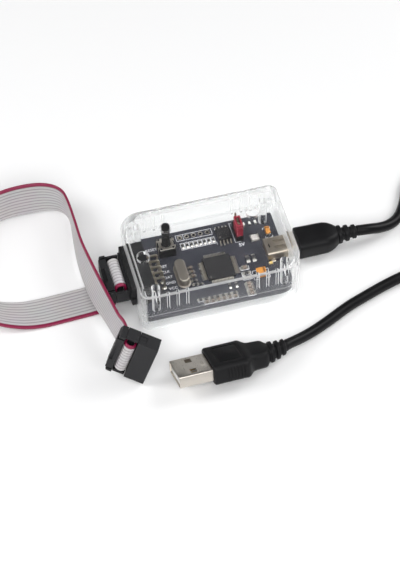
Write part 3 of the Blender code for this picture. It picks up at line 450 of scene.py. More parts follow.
def print_lines(name, lines, width=0.16 * MM):
    """Straight printed strokes from (x, y) to (x, y), in millimetres."""
    mesh_data = bmesh.new()
    for (x1, y1), (x2, y2) in lines:
        start, end = Vector((x1, y1)) * MM, Vector((x2, y2)) * MM
        along = (end - start).normalized()
        side = Vector((-along.y, along.x)) * width / 2
        start, end = start - along * width / 2, end + along * width / 2
        low, high = BOARD_TOP, BOARD_TOP + PRINT_THICKNESS
        corners = (start - side, end - side, end + side, start + side)
        add_loft(mesh_data, [[(*corner, z) for corner in corners] for z in (low, high)])
    return piece(name, mesh_data, white_print, "programmer", smooth=0)


def frame_lines(x1, y1, x2, y2):
    corners = ((x1, y1), (x2, y1), (x2, y2), (x1, y2))
    return list(zip(corners, corners[1:] + corners[:1]))


def corner_marks(x, y, half_x, half_y, arm):
    """Four printed corners round a part."""
    lines = []
    for side in (-1, 1):
        for face in (-1, 1):
            cx, cy = x + side * half_x, y + face * half_y
            lines.append(((cx, cy), (cx - side * arm, cy)))
            lines.append(((cx, cy), (cx, cy - face * arm)))
    return lines


def print_word(name, word, x, y, height):
    """A generic label in plain print."""
    text = bpy.data.curves.new(name, "FONT")
    text.body = word
    text.size = height * MM * 1.35
    text.align_x = "CENTER"
    text.align_y = "CENTER"
    text.extrude = PRINT_THICKNESS / 2
    text.offset = 0.02 * MM
    mesh = final_mesh(add_object(f"{name}_outline", text))
    mesh.transform(Matrix.Translation((x * MM, y * MM, BOARD_TOP + PRINT_THICKNESS / 2)))
    mesh.materials.clear()
    mesh.materials.append(white_print)
    add_object(name, mesh, "programmer")


spare_box = frame_lines(-8.75, 13.1, 4.35, 15.75) + [((-6.1, 13.1), (-6.1, 15.75))]
jumper_bracket = [((11.3, 7.2), (11.3, 16.2)), ((11.3, 7.2), (13.2, 7.2)), ((11.3, 16.2), (12.0, 16.2))]
tantalum_marks = corner_marks(16.3, -8.7, 2.9, 1.9, 1.4) + corner_marks(23.6, 8.7, 1.3, 2.3, 0.7)
chip_marks = [((-4.4, -7.9), (-4.4, -8.7)), ((-4.4, -8.7), (-3.6, -8.7)), ((4.9, 8.1), (4.9, 9.3))]
print_lines("board_print_frames", spare_box + jumper_bracket + tantalum_marks + chip_marks)
dots = [((x, 14.9), (x + 0.12, 14.9)) for x in (5.7, 7.1, 8.5, 9.9)]
print_lines("board_print_dots", dots, 0.4 * MM)
for index, word in enumerate(("RST", "CLK", "DAT", "GND", "VCC")):
    print_word(f"label_{word.lower()}", word, -16.2 + index * 0.25, 3.4 - index * 2.54, 1.15)
print_word("label_supply", "5V", 13.2, 5.7, 1.5)
print_word("label_reset", "RESET", -18.6, 11.6, 1.2)


def pad_profile(outer, inner):
    """A plated ring's closed profile on the board's face."""
    low, high = BOARD_TOP, BOARD_TOP + 0.04 * MM
    return [(outer, low), (outer, high), (inner, high), (inner, low)]


SPARE_X, SPARE_Y = -7.4 * MM, 14.5 * MM
PAD_REACH = 0.86 * MM
pads = loft(turned_rings(pad_profile(PAD_REACH, 0.5 * MM), 20, SPARE_X + PITCH, SPARE_Y), True)
row("spare_hole_rings", pads, 4, (PITCH, 0, 0), tinned_copper, "programmer")
pad_rings = [
    [(SPARE_X + a * reach, SPARE_Y + b * reach, z) for a, b in SQUARE]
    for reach, z in pad_profile(PAD_REACH, 0.4 * MM)
]
piece("spare_hole_square_ring", loft(pad_rings, True), tinned_copper, "programmer", smooth=0)


# ---------------------------------------------------------------- chip resistors and capacitors
# Small blocks of white ceramic with a black glaze, or of buff ceramic, with tinned ends, each
# soldered across two pads.
chip_glaze = grained("chip_glaze", (0.035, 0.034, 0.036), (0.06, 0.058, 0.06), (0.35, 0.5), 3000, 0.3)
chip_buff = grained("chip_buff", (0.16, 0.125, 0.1), (0.21, 0.165, 0.135), (0.45, 0.6), 3000, 0.3)
solder = grained("solder", (0.72, 0.7, 0.66), (0.6, 0.58, 0.54), (0.22, 0.36), 1800, 0.5, 1.0)


def chip_parts(name, places, finish, turned=False, size=(1.6, 0.8, 0.45)):
    """Chip parts at (x, y) in millimetres: bodies, tinned ends and sloping solder."""
    bodies, ends = bmesh.new(), bmesh.new()
    long, wide, tall = (side * MM for side in size)
    low = BOARD_TOP + PAD_THICKNESS
    for x, y in places:
        centre = Matrix.Translation((x * MM, y * MM, low))
        if turned:
            centre = centre @ Matrix.Rotation(math.pi / 2, 4, "Z")
        body, end = bmesh.new(), bmesh.new()
        add_block(body, (-long * 0.3, -wide / 2, 0), (long * 0.3, wide / 2, tall))
        for side in (-1, 1):
            near, far = sorted((side * long * 0.3, side * long * 0.5))
            add_block(end, (near, -wide / 2, 0), (far, wide / 2, tall * 1.03))
            near, far = sorted((side * long * 0.5, side * long * 0.78))
            slope = [
                [(near if side > 0 else far, y_end, 0), (far if side > 0 else near, y_end, 0),
                 (near if side > 0 else far, y_end, tall * 0.7)]
                for y_end in (-wide * 0.55, wide * 0.55)
            ]
            add_loft(end, slope)
        for part, whole in ((body, bodies), (end, ends)):
            part.transform(centre)
            data = bpy.data.meshes.new("part")
            part.to_mesh(data)
            part.free()
            whole.from_mesh(data)
            bpy.data.meshes.remove(data)
    piece(f"{name}_bodies", bodies, finish, "programmer", smooth=30)
    piece(f"{name}_ends", ends, solder, "programmer", smooth=30)


NET_LEFT, NET_Y = -7.3, 10.35
net_places = [(NET_LEFT + i * 1.6, NET_Y) for i in range(8)]
chip_parts("pull_up_resistors", net_places, chip_glaze, True, (1.5, 0.75, 0.45))
chip_parts(
    "crystal_capacitors",
    [(-7.2, 0.3 - i * 1.9) for i in range(3)],
    chip_buff,
    False,
    (1.6, 0.8, 0.7),
)
chip_parts(
    "clock_resistors",
    [(-7.3, -5.6), (-7.2, -7.3), (-5.7, -7.6)],
    chip_glaze,
    False,
    (1.6, 0.8, 0.45),
)
chip_parts("usb_resistors", [(13.4, -1.1), (15.6, -1.1)], chip_glaze, True, (2.2, 1.2, 0.55))
chip_parts("regulator_capacitors", [(11.2, -4.8)], chip_buff, False, (2.0, 1.2, 0.9))
chip_parts("regulator_resistors", [(11.2, -7.2), (11.2, -8.9)], chip_glaze, False, (2.0, 1.0, 0.5))
front_row = [(-7.3 + i * 2.05, -14.2) for i in range(7)]
chip_parts("output_resistors", front_row, chip_glaze, False, (1.6, 0.8, 0.45))
chip_parts("output_capacitors", [(x, y - 1.5) for x, y in front_row[1:]], chip_buff, False, (1.6, 0.8, 0.7))
chip_parts("series_resistors", [(4.3, -10.9), (6.6, -10.9)], chip_glaze, True, (1.6, 0.8, 0.45))
chip_parts("filter_parts", [(10.9, -11.7 - i * 1.5) for i in range(4)], chip_buff, False, (2.0, 1.0, 0.8))
row_print = []
for x, y in net_places:
    row_print += frame_lines(x - 0.68, y - 1.5, x + 0.68, y + 1.5)
for x, y in front_row:
    row_print += frame_lines(x - 0.95, y - 0.7, x + 0.95, y + 0.7)
for x, y in front_row[1:]:
    row_print += frame_lines(x - 0.95, y - 2.2, x + 0.95, y - 0.8)
for i in range(4):
    row_print += frame_lines(9.5, -12.35 - i * 1.5, 12.3, -11.05 - i * 1.5)
for x, y in ((11.2, -4.8), (11.2, -7.2), (11.2, -8.9)):
    row_print += frame_lines(x - 1.6, y - 0.75, x + 1.6, y + 0.75)
print_lines("board_print_rows", row_print, 0.2 * MM)


# ---------------------------------------------------------------- chips
# Moulded black epoxy bodies with a printed mark at the first pin and a chamfered edge.
# Gull-wing leads of tinned copper are soldered to rows of pads.
moulded_epoxy = grained(
    "moulded_epoxy",
    (0.011, 0.0105, 0.0115),
    (0.016, 0.015, 0.0165),
    (0.5, 0.66),
    5000,
    0.35,
    shine=0.3,
)
marking_ink = grained("marking_ink", (0.12, 0.11, 0.1), (0.09, 0.085, 0.08), (0.5, 0.7), 3000, 0.1)


def chip_body(name, node, pin_mark):
    low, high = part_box(node)
    edge = 0.22 * MM
    middle = (low.z + high.z) / 2
    levels = ((edge, low.z), (0, middle - 0.06 * MM), (0, middle + 0.06 * MM), (edge, high.z))
    rings = [
        [
            (low.x + i, low.y + i, z),
            (high.x - i, low.y + i, z),
            (high.x - i, high.y - i, z),
            (low.x + i, high.y - i, z),
        ]
        for i, z in levels
    ]
    piece(name, loft(rings), moulded_epoxy, "programmer", 0.06 * MM, stands_for=(node,))
    levels = ((0.4 * MM, high.z - 0.02 * MM), (0.4 * MM, high.z + 0.008 * MM))
    mark = turned_rings(levels, 20, low.x + pin_mark * MM, low.y + pin_mark * MM)
    piece(f"{name}_pin_mark", loft(mark), marking_ink, "programmer")
    return low, high


def lead_profile(reach, tall, width, thick=0.16 * MM):
    """One gull-wing lead that leaves the body along +X at Y 0, its foot on Z 0."""
    foot, shoulder = reach * 0.62, reach * 0.2
    outer = [(0, tall), (shoulder, tall), (reach - foot, thick), (reach, thick), (reach, 0)]
    inner = [(reach - foot - thick * 0.8, 0), (shoulder - thick * 0.7, tall - thick), (0, tall - thick)]
    side = outer + inner
    return loft([[(x, y, z) for x, z in side] for y in (-width / 2, width / 2)])


def lead_rows(name, low, high, count, pitch, reach, tall, width, sides):
    """Rows of leads with their pads along the stated sides of a chip."""
    centre = (low + high) / 2
    for number, (turn, half) in enumerate(sides, 1):
        place = Matrix.Translation((centre.x, centre.y, BOARD_TOP + PAD_THICKNESS))
        place = place @ Matrix.Rotation(turn, 4, "Z")
        start = Matrix.Translation((half, -(count - 1) / 2 * pitch, 0))
        lead, step = lead_profile(reach, tall, width), (0, pitch, 0)
        row(
            f"{name}_leads_{number}",
            lead,
            count,
            step,
            tinned_copper,
            "programmer",
            place @ start,
            smooth=25,
        )
        pad = blocks(
            ((reach * 0.45, -width * 0.62, -PAD_THICKNESS), (reach + 0.6 * MM, width * 0.62, 0.02 * MM))
        )
        row(f"{name}_pads_{number}", pad, count, step, solder, "programmer", place @ start, smooth=0)


low, high = chip_body("microcontroller_body", "microcontroller", 1.1)
quarter_turns = [(math.pi / 2 * i, (high.x - low.x) / 2) for i in range(4)]
lead_rows("microcontroller", low, high, 16, 0.5 * MM, 1.3 * MM, 0.42 * MM, 0.28 * MM, quarter_turns)
low, high = chip_body("interface_chip_body", "interface_chip", 0.9)
front_and_back = [(-math.pi / 2, (high.y - low.y) / 2), (math.pi / 2, (high.y - low.y) / 2)]
lead_rows("interface_chip", low, high, 4, 1.27 * MM, 1.2 * MM, 0.85 * MM, 0.42 * MM, front_and_back)


# ---------------------------------------------------------------- crystal
# The clock crystal sits in a drawn can of nickel-plated steel with rounded ends, welded to a
# thin flange. Its top is slightly brushed.
def rounded(half_x, half_y, radii, steps=8):
    """A rectangle's outline with its own radius at each corner: ++, -+, --, +-."""
    points = []
    for quarter, (side, face) in enumerate(((1, 1), (-1, 1), (-1, -1), (1, -1))):
        radius = radii[quarter]
        for step in range(steps + 1):
            angle = math.pi / 2 * (quarter + step / steps)
            x = side * (half_x - radius) + radius * math.cos(angle)
            points.append((x, face * (half_y - radius) + radius * math.sin(angle)))
    return points


def brushed_metal(name, colour, worn, gloss, stretch):
    """Metal with fine parallel brush lines along one axis."""
    material, shader = plain_material(name, colour, gloss[0], 1.0)
    tree = material.node_tree
    place = add_node(tree, "ShaderNodeTexCoord")
    squeeze = add_node(tree, "ShaderNodeMapping", {"Scale": stretch})
    lines = add_node(tree, "ShaderNodeTexNoise", {"Scale": 900, "Detail": 3})
    stains = add_node(tree, "ShaderNodeTexNoise", {"Scale": 220, "Detail": 6})
    blend = add_node(tree, "ShaderNodeMix", {"A": (*colour, 1), "B": (*worn, 1)}, data_type="RGBA")
    polish = add_node(tree, "ShaderNodeMapRange", {"To Min": gloss[0], "To Max": gloss[1]})
    bump = add_node(tree, "ShaderNodeBump", {"Distance": 0.00002, "Strength": 0.25})
    join(
        tree,
        (place, "Object", squeeze, "Vector"), (squeeze, "Vector", lines, "Vector"),
        (place, "Object", stains, "Vector"), (stains, "Fac", blend, "Factor"),
        (lines, "Fac", polish, "Value"), (lines, "Fac", bump, "Height"),
        (blend, "Result", shader, "Base Color"), (polish, "Result", shader, "Roughness"),
        (bump, "Normal", shader, "Normal"),
    )
    return material


can_steel = brushed_metal("can_steel", (0.42, 0.38, 0.33), (0.34, 0.31, 0.27), (0.32, 0.5), (6, 0.4, 1))
low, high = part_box("crystal_can")
middle = (low + high) / 2
FLANGE, CAN_EDGE = 0.45 * MM, 0.5 * MM
half_x, half_y = (high.x - low.x) / 2, (high.y - low.y) / 2


def can_ring(inset, z):
    x, y = half_x - inset, half_y - inset
    outline = rounded(x, y, [x * 0.995] * 4, 10)
    return [(middle.x + a, middle.y + b, z) for a, b in outline]


can_rings = [can_ring(0.05 * MM, low.z), can_ring(0, low.z + 0.08 * MM), can_ring(0, low.z + 0.32 * MM)]
can_rings += [can_ring(0.06 * MM, low.z + 0.4 * MM), can_ring(FLANGE - 0.08 * MM, low.z + 0.42 * MM)]
can_rings += [can_ring(FLANGE, low.z + 0.55 * MM)]
for step in range(5):
    angle = math.pi / 2 * step / 4
    shrink = FLANGE + CAN_EDGE * (1 - math.cos(angle))
    can_rings.append(can_ring(shrink, high.z - CAN_EDGE * (1 - math.sin(angle))))
piece("crystal", loft(can_rings), can_steel, "programmer", stands_for=("crystal_can",), smooth=50)


# ---------------------------------------------------------------- capacitors, fuse and LEDs
# Amber tantalum capacitors with a darker polarity band and folded tin ends, a pale ceramic
# fuse, and small LEDs moulded in yellow or milky resin.
amber_epoxy = grained("amber_epoxy", (0.52, 0.22, 0.035), (0.42, 0.17, 0.03), (0.35, 0.5), 2500, 0.3)
amber_band = grained("amber_band", (0.2, 0.08, 0.015), (0.16, 0.06, 0.015), (0.4, 0.5), 2500, 0.2)
pale_ceramic = grained("pale_ceramic", (0.5, 0.48, 0.46), (0.42, 0.4, 0.38), (0.3, 0.5), 1500, 0.4)
milky_lens = grained("milky_lens", (0.75, 0.74, 0.7), (0.66, 0.65, 0.6), (0.2, 0.35), 1500, 0.1)
yellow_lens = grained("yellow_lens", (0.75, 0.55, 0.22), (0.65, 0.45, 0.16), (0.2, 0.35), 1500, 0.1)


def ended_part(node, finish, ends, along_y, band=None):
    """A moulded block with folded metal ends, and a band at one end."""
    low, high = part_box(node)
    axis = 1 if along_y else 0
    fold = (high[axis] - low[axis]) * 0.14
    skin = 0.06 * MM
    body_low, body_high = low.copy(), high.copy()
    body_low[axis] += skin
    body_high[axis] -= skin
    piece(
        f"{node}_body",
        blocks((body_low, body_high)),
        finish,
        "programmer",
        0.12 * MM,
        stands_for=(node,),
    )
    caps = bmesh.new()
    for near, far in ((low[axis], low[axis] + fold), (high[axis] - fold, high[axis])):
        cap_low, cap_high = low.copy(), high.copy()
        cap_low[axis], cap_high[axis] = near, far
        side = 1 - axis
        cap_low[side] -= 0.02 * MM
        cap_high[side] += 0.02 * MM
        cap_low.z = BOARD_TOP + 0.01 * MM
        cap_high.z = low.z + (high.z - low.z) * (0.62 if band else 1.04)
        add_block(caps, cap_low, cap_high)
    piece(f"{node}_ends", caps, ends, "programmer", 0.05 * MM)
    if band:
        band_low, band_high = low.copy(), high.copy()
        band_low[axis] = high[axis] - fold * 2.2
        band_high[axis] = high[axis] - fold * 0.9
        band_low.z = high.z - 0.02 * MM
        band_high.z = high.z + 0.012 * MM
        side = 1 - axis
        band_low[side] += 0.1 * MM
        band_high[side] -= 0.1 * MM
        piece(f"{node}_band", blocks((band_low, band_high)), band, "programmer", smooth=0)


ended_part("tantalum_capacitor_1", amber_epoxy, solder, True, amber_band)
ended_part("tantalum_capacitor_2", amber_epoxy, solder, False, amber_band)
ended_part("resettable_fuse", pale_ceramic, solder, False)
ended_part("power_led", yellow_lens, tinned_copper, False)
for number in (1, 2, 3):
    ended_part(f"status_led_{number}", milky_lens, solder, True)


# ---------------------------------------------------------------- reset switch
# A 6 mm push switch: a moulded black base with a stamped cover plate, heat-staked at its
# corners, a steel snap dome, and a long round button that comes up through the lid.
black_nylon = grained(
    "black_nylon", (0.006, 0.006, 0.0065), (0.011, 0.011, 0.012), (0.4, 0.56), 2600, 0.5, shine=0.3
)
stamped_tin = brushed_metal("stamped_tin", (0.6, 0.56, 0.5), (0.48, 0.45, 0.4), (0.28, 0.45), (1, 8, 1))
low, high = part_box("reset_switch_base")
switch_x, switch_y = (low.x + high.x) / 2, (low.y + high.y) / 2
WELL_RADIUS = 2.2 * MM
base_half = (high.x - low.x) / 2


def square_ring(half, z, sides=32):
    """A square with as many points as a round ring, so that the two join."""
    points = []
    for i in range(sides):
        angle = 2 * math.pi * i / sides
        reach = half / max(abs(math.cos(angle)), abs(math.sin(angle)))
        points.append((reach * math.cos(angle), reach * math.sin(angle), z))
    return points


def round_ring(radius, z, sides=32):
    return flat_ring(circle(radius, sides), z)


spot = Matrix.Translation((switch_x, switch_y, 0))
well_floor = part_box("reset_switch_dome")[0].z - 0.1 * MM
base_rings = [
    square_ring(base_half, low.z),
    square_ring(base_half, high.z),
    round_ring(WELL_RADIUS, high.z),
    round_ring(WELL_RADIUS, well_floor),
]
piece(
    "reset_switch_body",
    loft(base_rings),
    black_nylon,
    "programmer",
    0.08 * MM,
    spot,
    ("reset_switch_base",),
)
low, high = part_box("reset_switch_plate")
plate_half = base_half - 0.35 * MM
hole = 1.7 * MM
plate_rings = [
    square_ring(plate_half, low.z),
    square_ring(plate_half, high.z - 0.05 * MM),
    square_ring(plate_half - 0.05 * MM, high.z),
    round_ring(hole + 0.25 * MM, high.z),
    round_ring(hole, high.z - 0.12 * MM),
    round_ring(hole, low.z),
]
piece(
    "reset_switch_cover",
    loft(plate_rings, True),
    stamped_tin,
    "programmer",
    0,
    spot,
    ("reset_switch_plate",),
    30,
)
stakes, ears = bmesh.new(), bmesh.new()
for side in (-1, 1):
    for face in (-1, 1):
        x, y = side * 2.2 * MM, face * 2.2 * MM
        stake = [(0.42, 0), (0.42, 0.12), (0.3, 0.24), (0.12, 0.29)]
        stake = [(radius * MM, high.z - 0.02 * MM + rise * MM) for radius, rise in stake]
        add_loft(stakes, turned_rings(stake, 16, x, y))
    near, far = sorted((side * (plate_half - 0.02 * MM), side * (base_half + 0.16 * MM)))
    for y in (-1.9 * MM, 1.2 * MM):
        add_block(ears, (near, y, high.z - 0.2 * MM), (far, y + 0.75 * MM, high.z))
        outer = sorted((side * (base_half + 0.04 * MM), side * (base_half + 0.2 * MM)))
        add_block(ears, (outer[0], y, BOARD_TOP + 0.1 * MM), (outer[1], y + 0.75 * MM, high.z - 0.02 * MM))
piece("reset_switch_stakes", stakes, black_nylon, "programmer", place=spot)
piece("reset_switch_legs", ears, stamped_tin, "programmer", 0.04 * MM, spot)
dome_finish = brushed_metal("dome_steel", (0.6, 0.58, 0.55), (0.5, 0.48, 0.46), (0.25, 0.4), (1, 1, 1))
dome_low, dome_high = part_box("reset_switch_dome")
dome_tall, dome_reach = dome_high.z - dome_low.z, (dome_high.x - dome_low.x) / 2
SPRING_SHEET = 0.1 * MM
dome_shares = (1.0, 0.9, 0.78, 0.64, 0.5, 0.34, 0.16)
dome_curve = [(dome_reach * share, (dome_tall - SPRING_SHEET) * (1 - share**2)) for share in dome_shares]
dome_rings = [round_ring(radius, dome_low.z + rise) for radius, rise in reversed(dome_curve)]
dome_rings += [round_ring(radius, dome_low.z + rise + SPRING_SHEET) for radius, rise in dome_curve]
dome_nodes = ("reset_switch_dome",)
spring_dome = piece(
    "reset_spring_dome", loft(dome_rings), dome_finish, "programmer", 0, spot, dome_nodes, 35
)
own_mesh(spring_dome)
low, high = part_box("reset_button")
BUTTON_RADIUS = 1.5 * MM
flange_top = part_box("reset_switch_plate")[0].z - 0.15 * MM
NUB_RADIUS, NUB_HEIGHT, FLANGE_RADIUS = 0.9 * MM, 0.45 * MM, 2.0 * MM
profile = [(NUB_RADIUS, low.z), (NUB_RADIUS, low.z + NUB_HEIGHT)]
profile += [(FLANGE_RADIUS, low.z + NUB_HEIGHT), (FLANGE_RADIUS, flange_top)]
profile += [(BUTTON_RADIUS, flange_top), (BUTTON_RADIUS, high.z - 0.25 * MM)]
profile += [(BUTTON_RADIUS - 0.08 * MM, high.z - 0.08 * MM), (BUTTON_RADIUS - 0.25 * MM, high.z)]
profile += [(BUTTON_RADIUS - 0.4 * MM, high.z), (BUTTON_RADIUS - 0.5 * MM, high.z - 0.06 * MM)]
piece(
    "reset_push_button",
    loft(turned_rings(profile, 40)),
    black_nylon,
    "reset_button",
    0,
    spot,
    ("reset_button",),
    35,
)


# ---------------------------------------------------------------- voltage jumper
# Three square pins in a moulded strip. A red cap with a metal clip inside joins two of them,
# and its open top shows the pins' tips.
red_pbt = grained("red_pbt", (0.24, 0.012, 0.028), (0.18, 0.01, 0.022), (0.34, 0.5), 2200, 0.4)
pin_brass = brushed_metal("pin_plating", (0.62, 0.56, 0.46), (0.5, 0.45, 0.38), (0.25, 0.4), (1, 1, 6))
low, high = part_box("jumper_header_base")
jumper_x, jumper_y = (low.x + high.x) / 2, (low.y + high.y) / 2
PIN = 0.64 * MM
waist = 0.35 * MM
strip = bmesh.new()
for i in range(3):
    y = low.y + i * PITCH
    outline = [(low.x + waist, y), (high.x - waist, y), (high.x, y + waist), (high.x, y + PITCH - waist)]
    outline += [
        (high.x - waist, y + PITCH),
        (low.x + waist, y + PITCH),
        (low.x, y + PITCH - waist),
        (low.x, y + waist),
    ]
    add_loft(strip, [flat_ring(outline, low.z), flat_ring(outline, high.z)])
piece("jumper_strip", strip, black_nylon, "programmer", 0.06 * MM, stands_for=("jumper_header_base",))


def square_pin(length, taper=0.45 * MM):
    """A square pin up +Z from 0 with both ends tapered."""
    shape = ((PIN / 4, 0), (PIN / 2, taper), (PIN / 2, length - taper), (PIN / 4, length))
    return loft([[(a * r, b * r, z) for a, b in SQUARE] for r, z in shape])


pin_low, pin_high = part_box("jumper_header_pin_1")
pin = square_pin(pin_high.z - pin_low.z)
start = Matrix.Translation((jumper_x, jumper_y - PITCH, pin_low.z))
nodes = [f"jumper_header_pin_{i}" for i in (1, 2, 3)]
row("jumper_pins", pin, 3, (0, PITCH, 0), pin_brass, "programmer", start, nodes, 20)
low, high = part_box("voltage_jumper")
cap_centre = (low + high) / 2
half_x, half_y = (high.x - low.x) / 2, (high.y - low.y) / 2


def cap_ring(x, y, corner, z):
    outline = rounded(x, y, [corner] * 4, 3)
    return [(cap_centre.x + a, cap_centre.y + b, z) for a, b in outline]


NOTCH = 0.28
hollow_x, hollow_y = PIN / 2 + 0.26 * MM, PITCH / 2 + PIN / 2 + 0.26 * MM
cap_rings = [
    cap_ring(reach_x - inset * MM, reach_y - inset * MM, corner * MM, z)
    for reach_x, reach_y, inset, corner, z in (
        (half_x, half_y, 0.1, 0.3, low.z),
        (half_x, half_y, 0, 0.35, low.z + 0.12 * MM),
        (half_x, half_y, 0, 0.35, high.z - 2.1 * MM),
        (half_x, half_y, NOTCH, 0.25, high.z - 1.9 * MM),
        (half_x, half_y, NOTCH, 0.25, high.z - 1.25 * MM),
        (half_x, half_y, 0, 0.35, high.z - 1.05 * MM),
        (half_x, half_y, 0, 0.35, high.z - 0.15 * MM),
        (half_x, half_y, 0.15, 0.3, high.z),
        (hollow_x, hollow_y, -0.12, 0.1, high.z),
        (hollow_x, hollow_y, 0, 0.08, high.z - 0.15 * MM),
        (hollow_x, hollow_y, 0, 0.08, low.z),
    )
]
piece("jumper_cap", loft(cap_rings, True), red_pbt, "jumper", stands_for=("voltage_jumper",), smooth=30)
clip = blocks(
    (
        (cap_centre.x - hollow_x + 0.03 * MM, cap_centre.y - 0.55 * MM, low.z + 1.2 * MM),
        (cap_centre.x + hollow_x - 0.03 * MM, cap_centre.y + 0.55 * MM, high.z - 1.6 * MM),
    )
)
piece("jumper_clip", clip, pin_brass, "jumper", 0.05 * MM)


# ---------------------------------------------------------------- box header
# A moulded black shroud open to the left, with a key slot, and ten square pins bent down into
# the board in two rows. The solder stands up round each pin.
low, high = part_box("header_shroud")
SOCKET_LENGTH, SOCKET_THICKNESS = 17.3 * MM, 6.0 * MM
HEADER_BACK = 1.75 * MM
CAVITY_CLEARANCE = 0.2 * MM
header_mid = (low + high) / 2
half_y, half_z = (high.y - low.y) / 2, (high.z - low.z) / 2
cavity_y, cavity_z = SOCKET_LENGTH / 2 + CAVITY_CLEARANCE, SOCKET_THICKNESS / 2 + CAVITY_CLEARANCE


def upright_ring(half_wide, half_tall, corner, x, y_mid=0.0, z_mid=0.0, steps=3):
    """A rounded rectangle across the X axis."""
    outline = rounded(half_wide, half_tall, [corner] * 4, steps)
    return [(x, y_mid + a, z_mid + b) for a, b in outline]


def shroud_ring(inset, x):
    return upright_ring(half_y - inset, half_z - inset, 0.3 * MM, x, header_mid.y, header_mid.z)


def cavity_ring(grow, x):
    return upright_ring(cavity_y + grow, cavity_z + grow, 0.2 * MM, x, header_mid.y, header_mid.z)


back = high.x - HEADER_BACK
shroud_rings = [
    shroud_ring(0.15 * MM, high.x),
    shroud_ring(0, high.x - 0.15 * MM),
    shroud_ring(0, low.x + 0.15 * MM),
    shroud_ring(0.15 * MM, low.x),
    cavity_ring(0.25 * MM, low.x),
    cavity_ring(0, low.x + 0.4 * MM),
    cavity_ring(0, back),
]


WELD = 1e-6


def shaped(name, mesh_data, steps, material):
    """A solid after a list of boolean steps, cleaned of points that fell together."""
    blank = piece(f"{name}_blank", mesh_data, material, None, smooth=0)
    helpers = []
    for operation, other in steps:
        helpers.append(piece(f"{name}_helper_{len(helpers)}", other, material, None, smooth=0))
        modifier = blank.modifiers.new("shape", "BOOLEAN")
        modifier.operation = operation
        modifier.object = helpers[-1]
        modifier.solver = "EXACT"
    mesh = final_mesh(blank, helpers)
    result = bmesh.new()
    result.from_mesh(mesh)
    bpy.data.meshes.remove(mesh)
    bmesh.ops.remove_doubles(result, verts=result.verts, dist=WELD)
    bmesh.ops.dissolve_degenerate(result, edges=result.edges, dist=WELD)
    return result


def with_cuts(name, mesh_data, cutters, material, body, stands_for=(), bevel=0.0, smooth=30, joins=()):
    """A solid with pieces joined on and others cut out, kept as one plain mesh."""
    steps = [("UNION", part) for part in joins] + [("DIFFERENCE", part) for part in cutters]
    result = shaped(name, mesh_data, steps, material)
    return piece(name, result, material, body, bevel, None, stands_for, smooth)


KEY_WIDTH = 4.0 * MM
key_half = KEY_WIDTH / 2 + CAVITY_CLEARANCE
key_slot = blocks(
    (
        (low.x - 1 * MM, header_mid.y - key_half, low.z - 1 * MM),
        (back - 1 * MM, header_mid.y + key_half, header_mid.z),
    )
)
side_notches = blocks(
    (
        (low.x - 1 * MM, high.y - 0.5 * MM, header_mid.z - 1.1 * MM),
        (low.x + 2.2 * MM, high.y + 1 * MM, header_mid.z + 1.1 * MM),
    ),
    (
        (low.x - 1 * MM, low.y - 1 * MM, header_mid.z - 1.1 * MM),
        (low.x + 2.2 * MM, low.y + 0.5 * MM, header_mid.z + 1.1 * MM),
    ),
)
glass_nylon = grained(
    "glass_nylon", (0.006, 0.006, 0.0065), (0.01, 0.01, 0.011), (0.4, 0.56), 2400, 0.55, shine=0.3
)
with_cuts(
    "header_box",
    loft(shroud_rings),
    [key_slot, side_notches],
    glass_nylon,
    "programmer",
    ("header_shroud",),
)


def bent_pin(run, drop):
    """A square pin along +X from 0 that bends down with a round corner at run."""
    half = PIN / 2
    bend = 0.7 * MM
    path = [(0, 0, PIN / 4), (0.5 * MM, 0, half), (run - bend, 0, half)]
    for step in range(1, 5):
        angle = math.pi / 2 * step / 4
        path.append((run - bend + bend * math.sin(angle), -bend + bend * math.cos(angle), half))
    path += [(run, -drop + 0.3 * MM, half), (run, -drop, PIN / 4)]
    rings = []
    for i, (x, z, size) in enumerate(path):
        before, after = path[max(i - 1, 0)], path[min(i + 1, len(path) - 1)]
        along = Vector((after[0] - before[0], 0, after[1] - before[1])).normalized()
        side = Vector((-along.z, 0, along.x))
        centre = Vector((x, 0, z))
        rings.append([centre + Vector((0, a * size, 0)) + side * b * size for a, b in SQUARE])
    return loft(rings)


def solder_cone(wide, narrow, tall):
    """Solder that climbs a pin, from Z 0."""
    rings = []
    for step in range(6):
        share = step / 5
        radius = narrow + (wide - narrow) * (1 - share) ** 2.2
        rings.append(round_ring(radius, share * tall, 14))
    return loft(rings)


for row_index, first in enumerate((5, 10)):
    pin_low, pin_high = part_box(f"header_pin_{first}")
    nodes = [f"header_pin_{first - i}" for i in range(5)]
    start = Matrix.Translation((pin_low.x, (pin_low.y + pin_high.y) / 2, pin_high.z - PIN / 2))
    shape = bent_pin(pin_high.x - PIN / 2 - pin_low.x, pin_high.z - PIN / 2 - pin_low.z)
    row(
        f"header_pins_row_{row_index + 1}",
        shape,
        5,
        (0, PITCH, 0),
        pin_brass,
        "programmer",
        start,
        nodes,
        30,
    )
    foot = Matrix.Translation((pin_high.x - PIN / 2, (pin_low.y + pin_high.y) / 2, BOARD_TOP))
    cone = solder_cone(0.85 * MM, 0.34 * MM, 0.6 * MM)
    row(f"header_solder_row_{row_index + 1}", cone, 5, (0, PITCH, 0), solder, "programmer", foot)
cone = solder_cone(0.8 * MM, 0.34 * MM, 0.3 * MM)
under = Matrix.Translation((jumper_x, jumper_y - PITCH, BOARD_LOW.z)) @ Matrix.Rotation(math.pi, 4, "X")
row("jumper_solder", cone, 3, (0, -PITCH, 0), solder, "programmer", under)


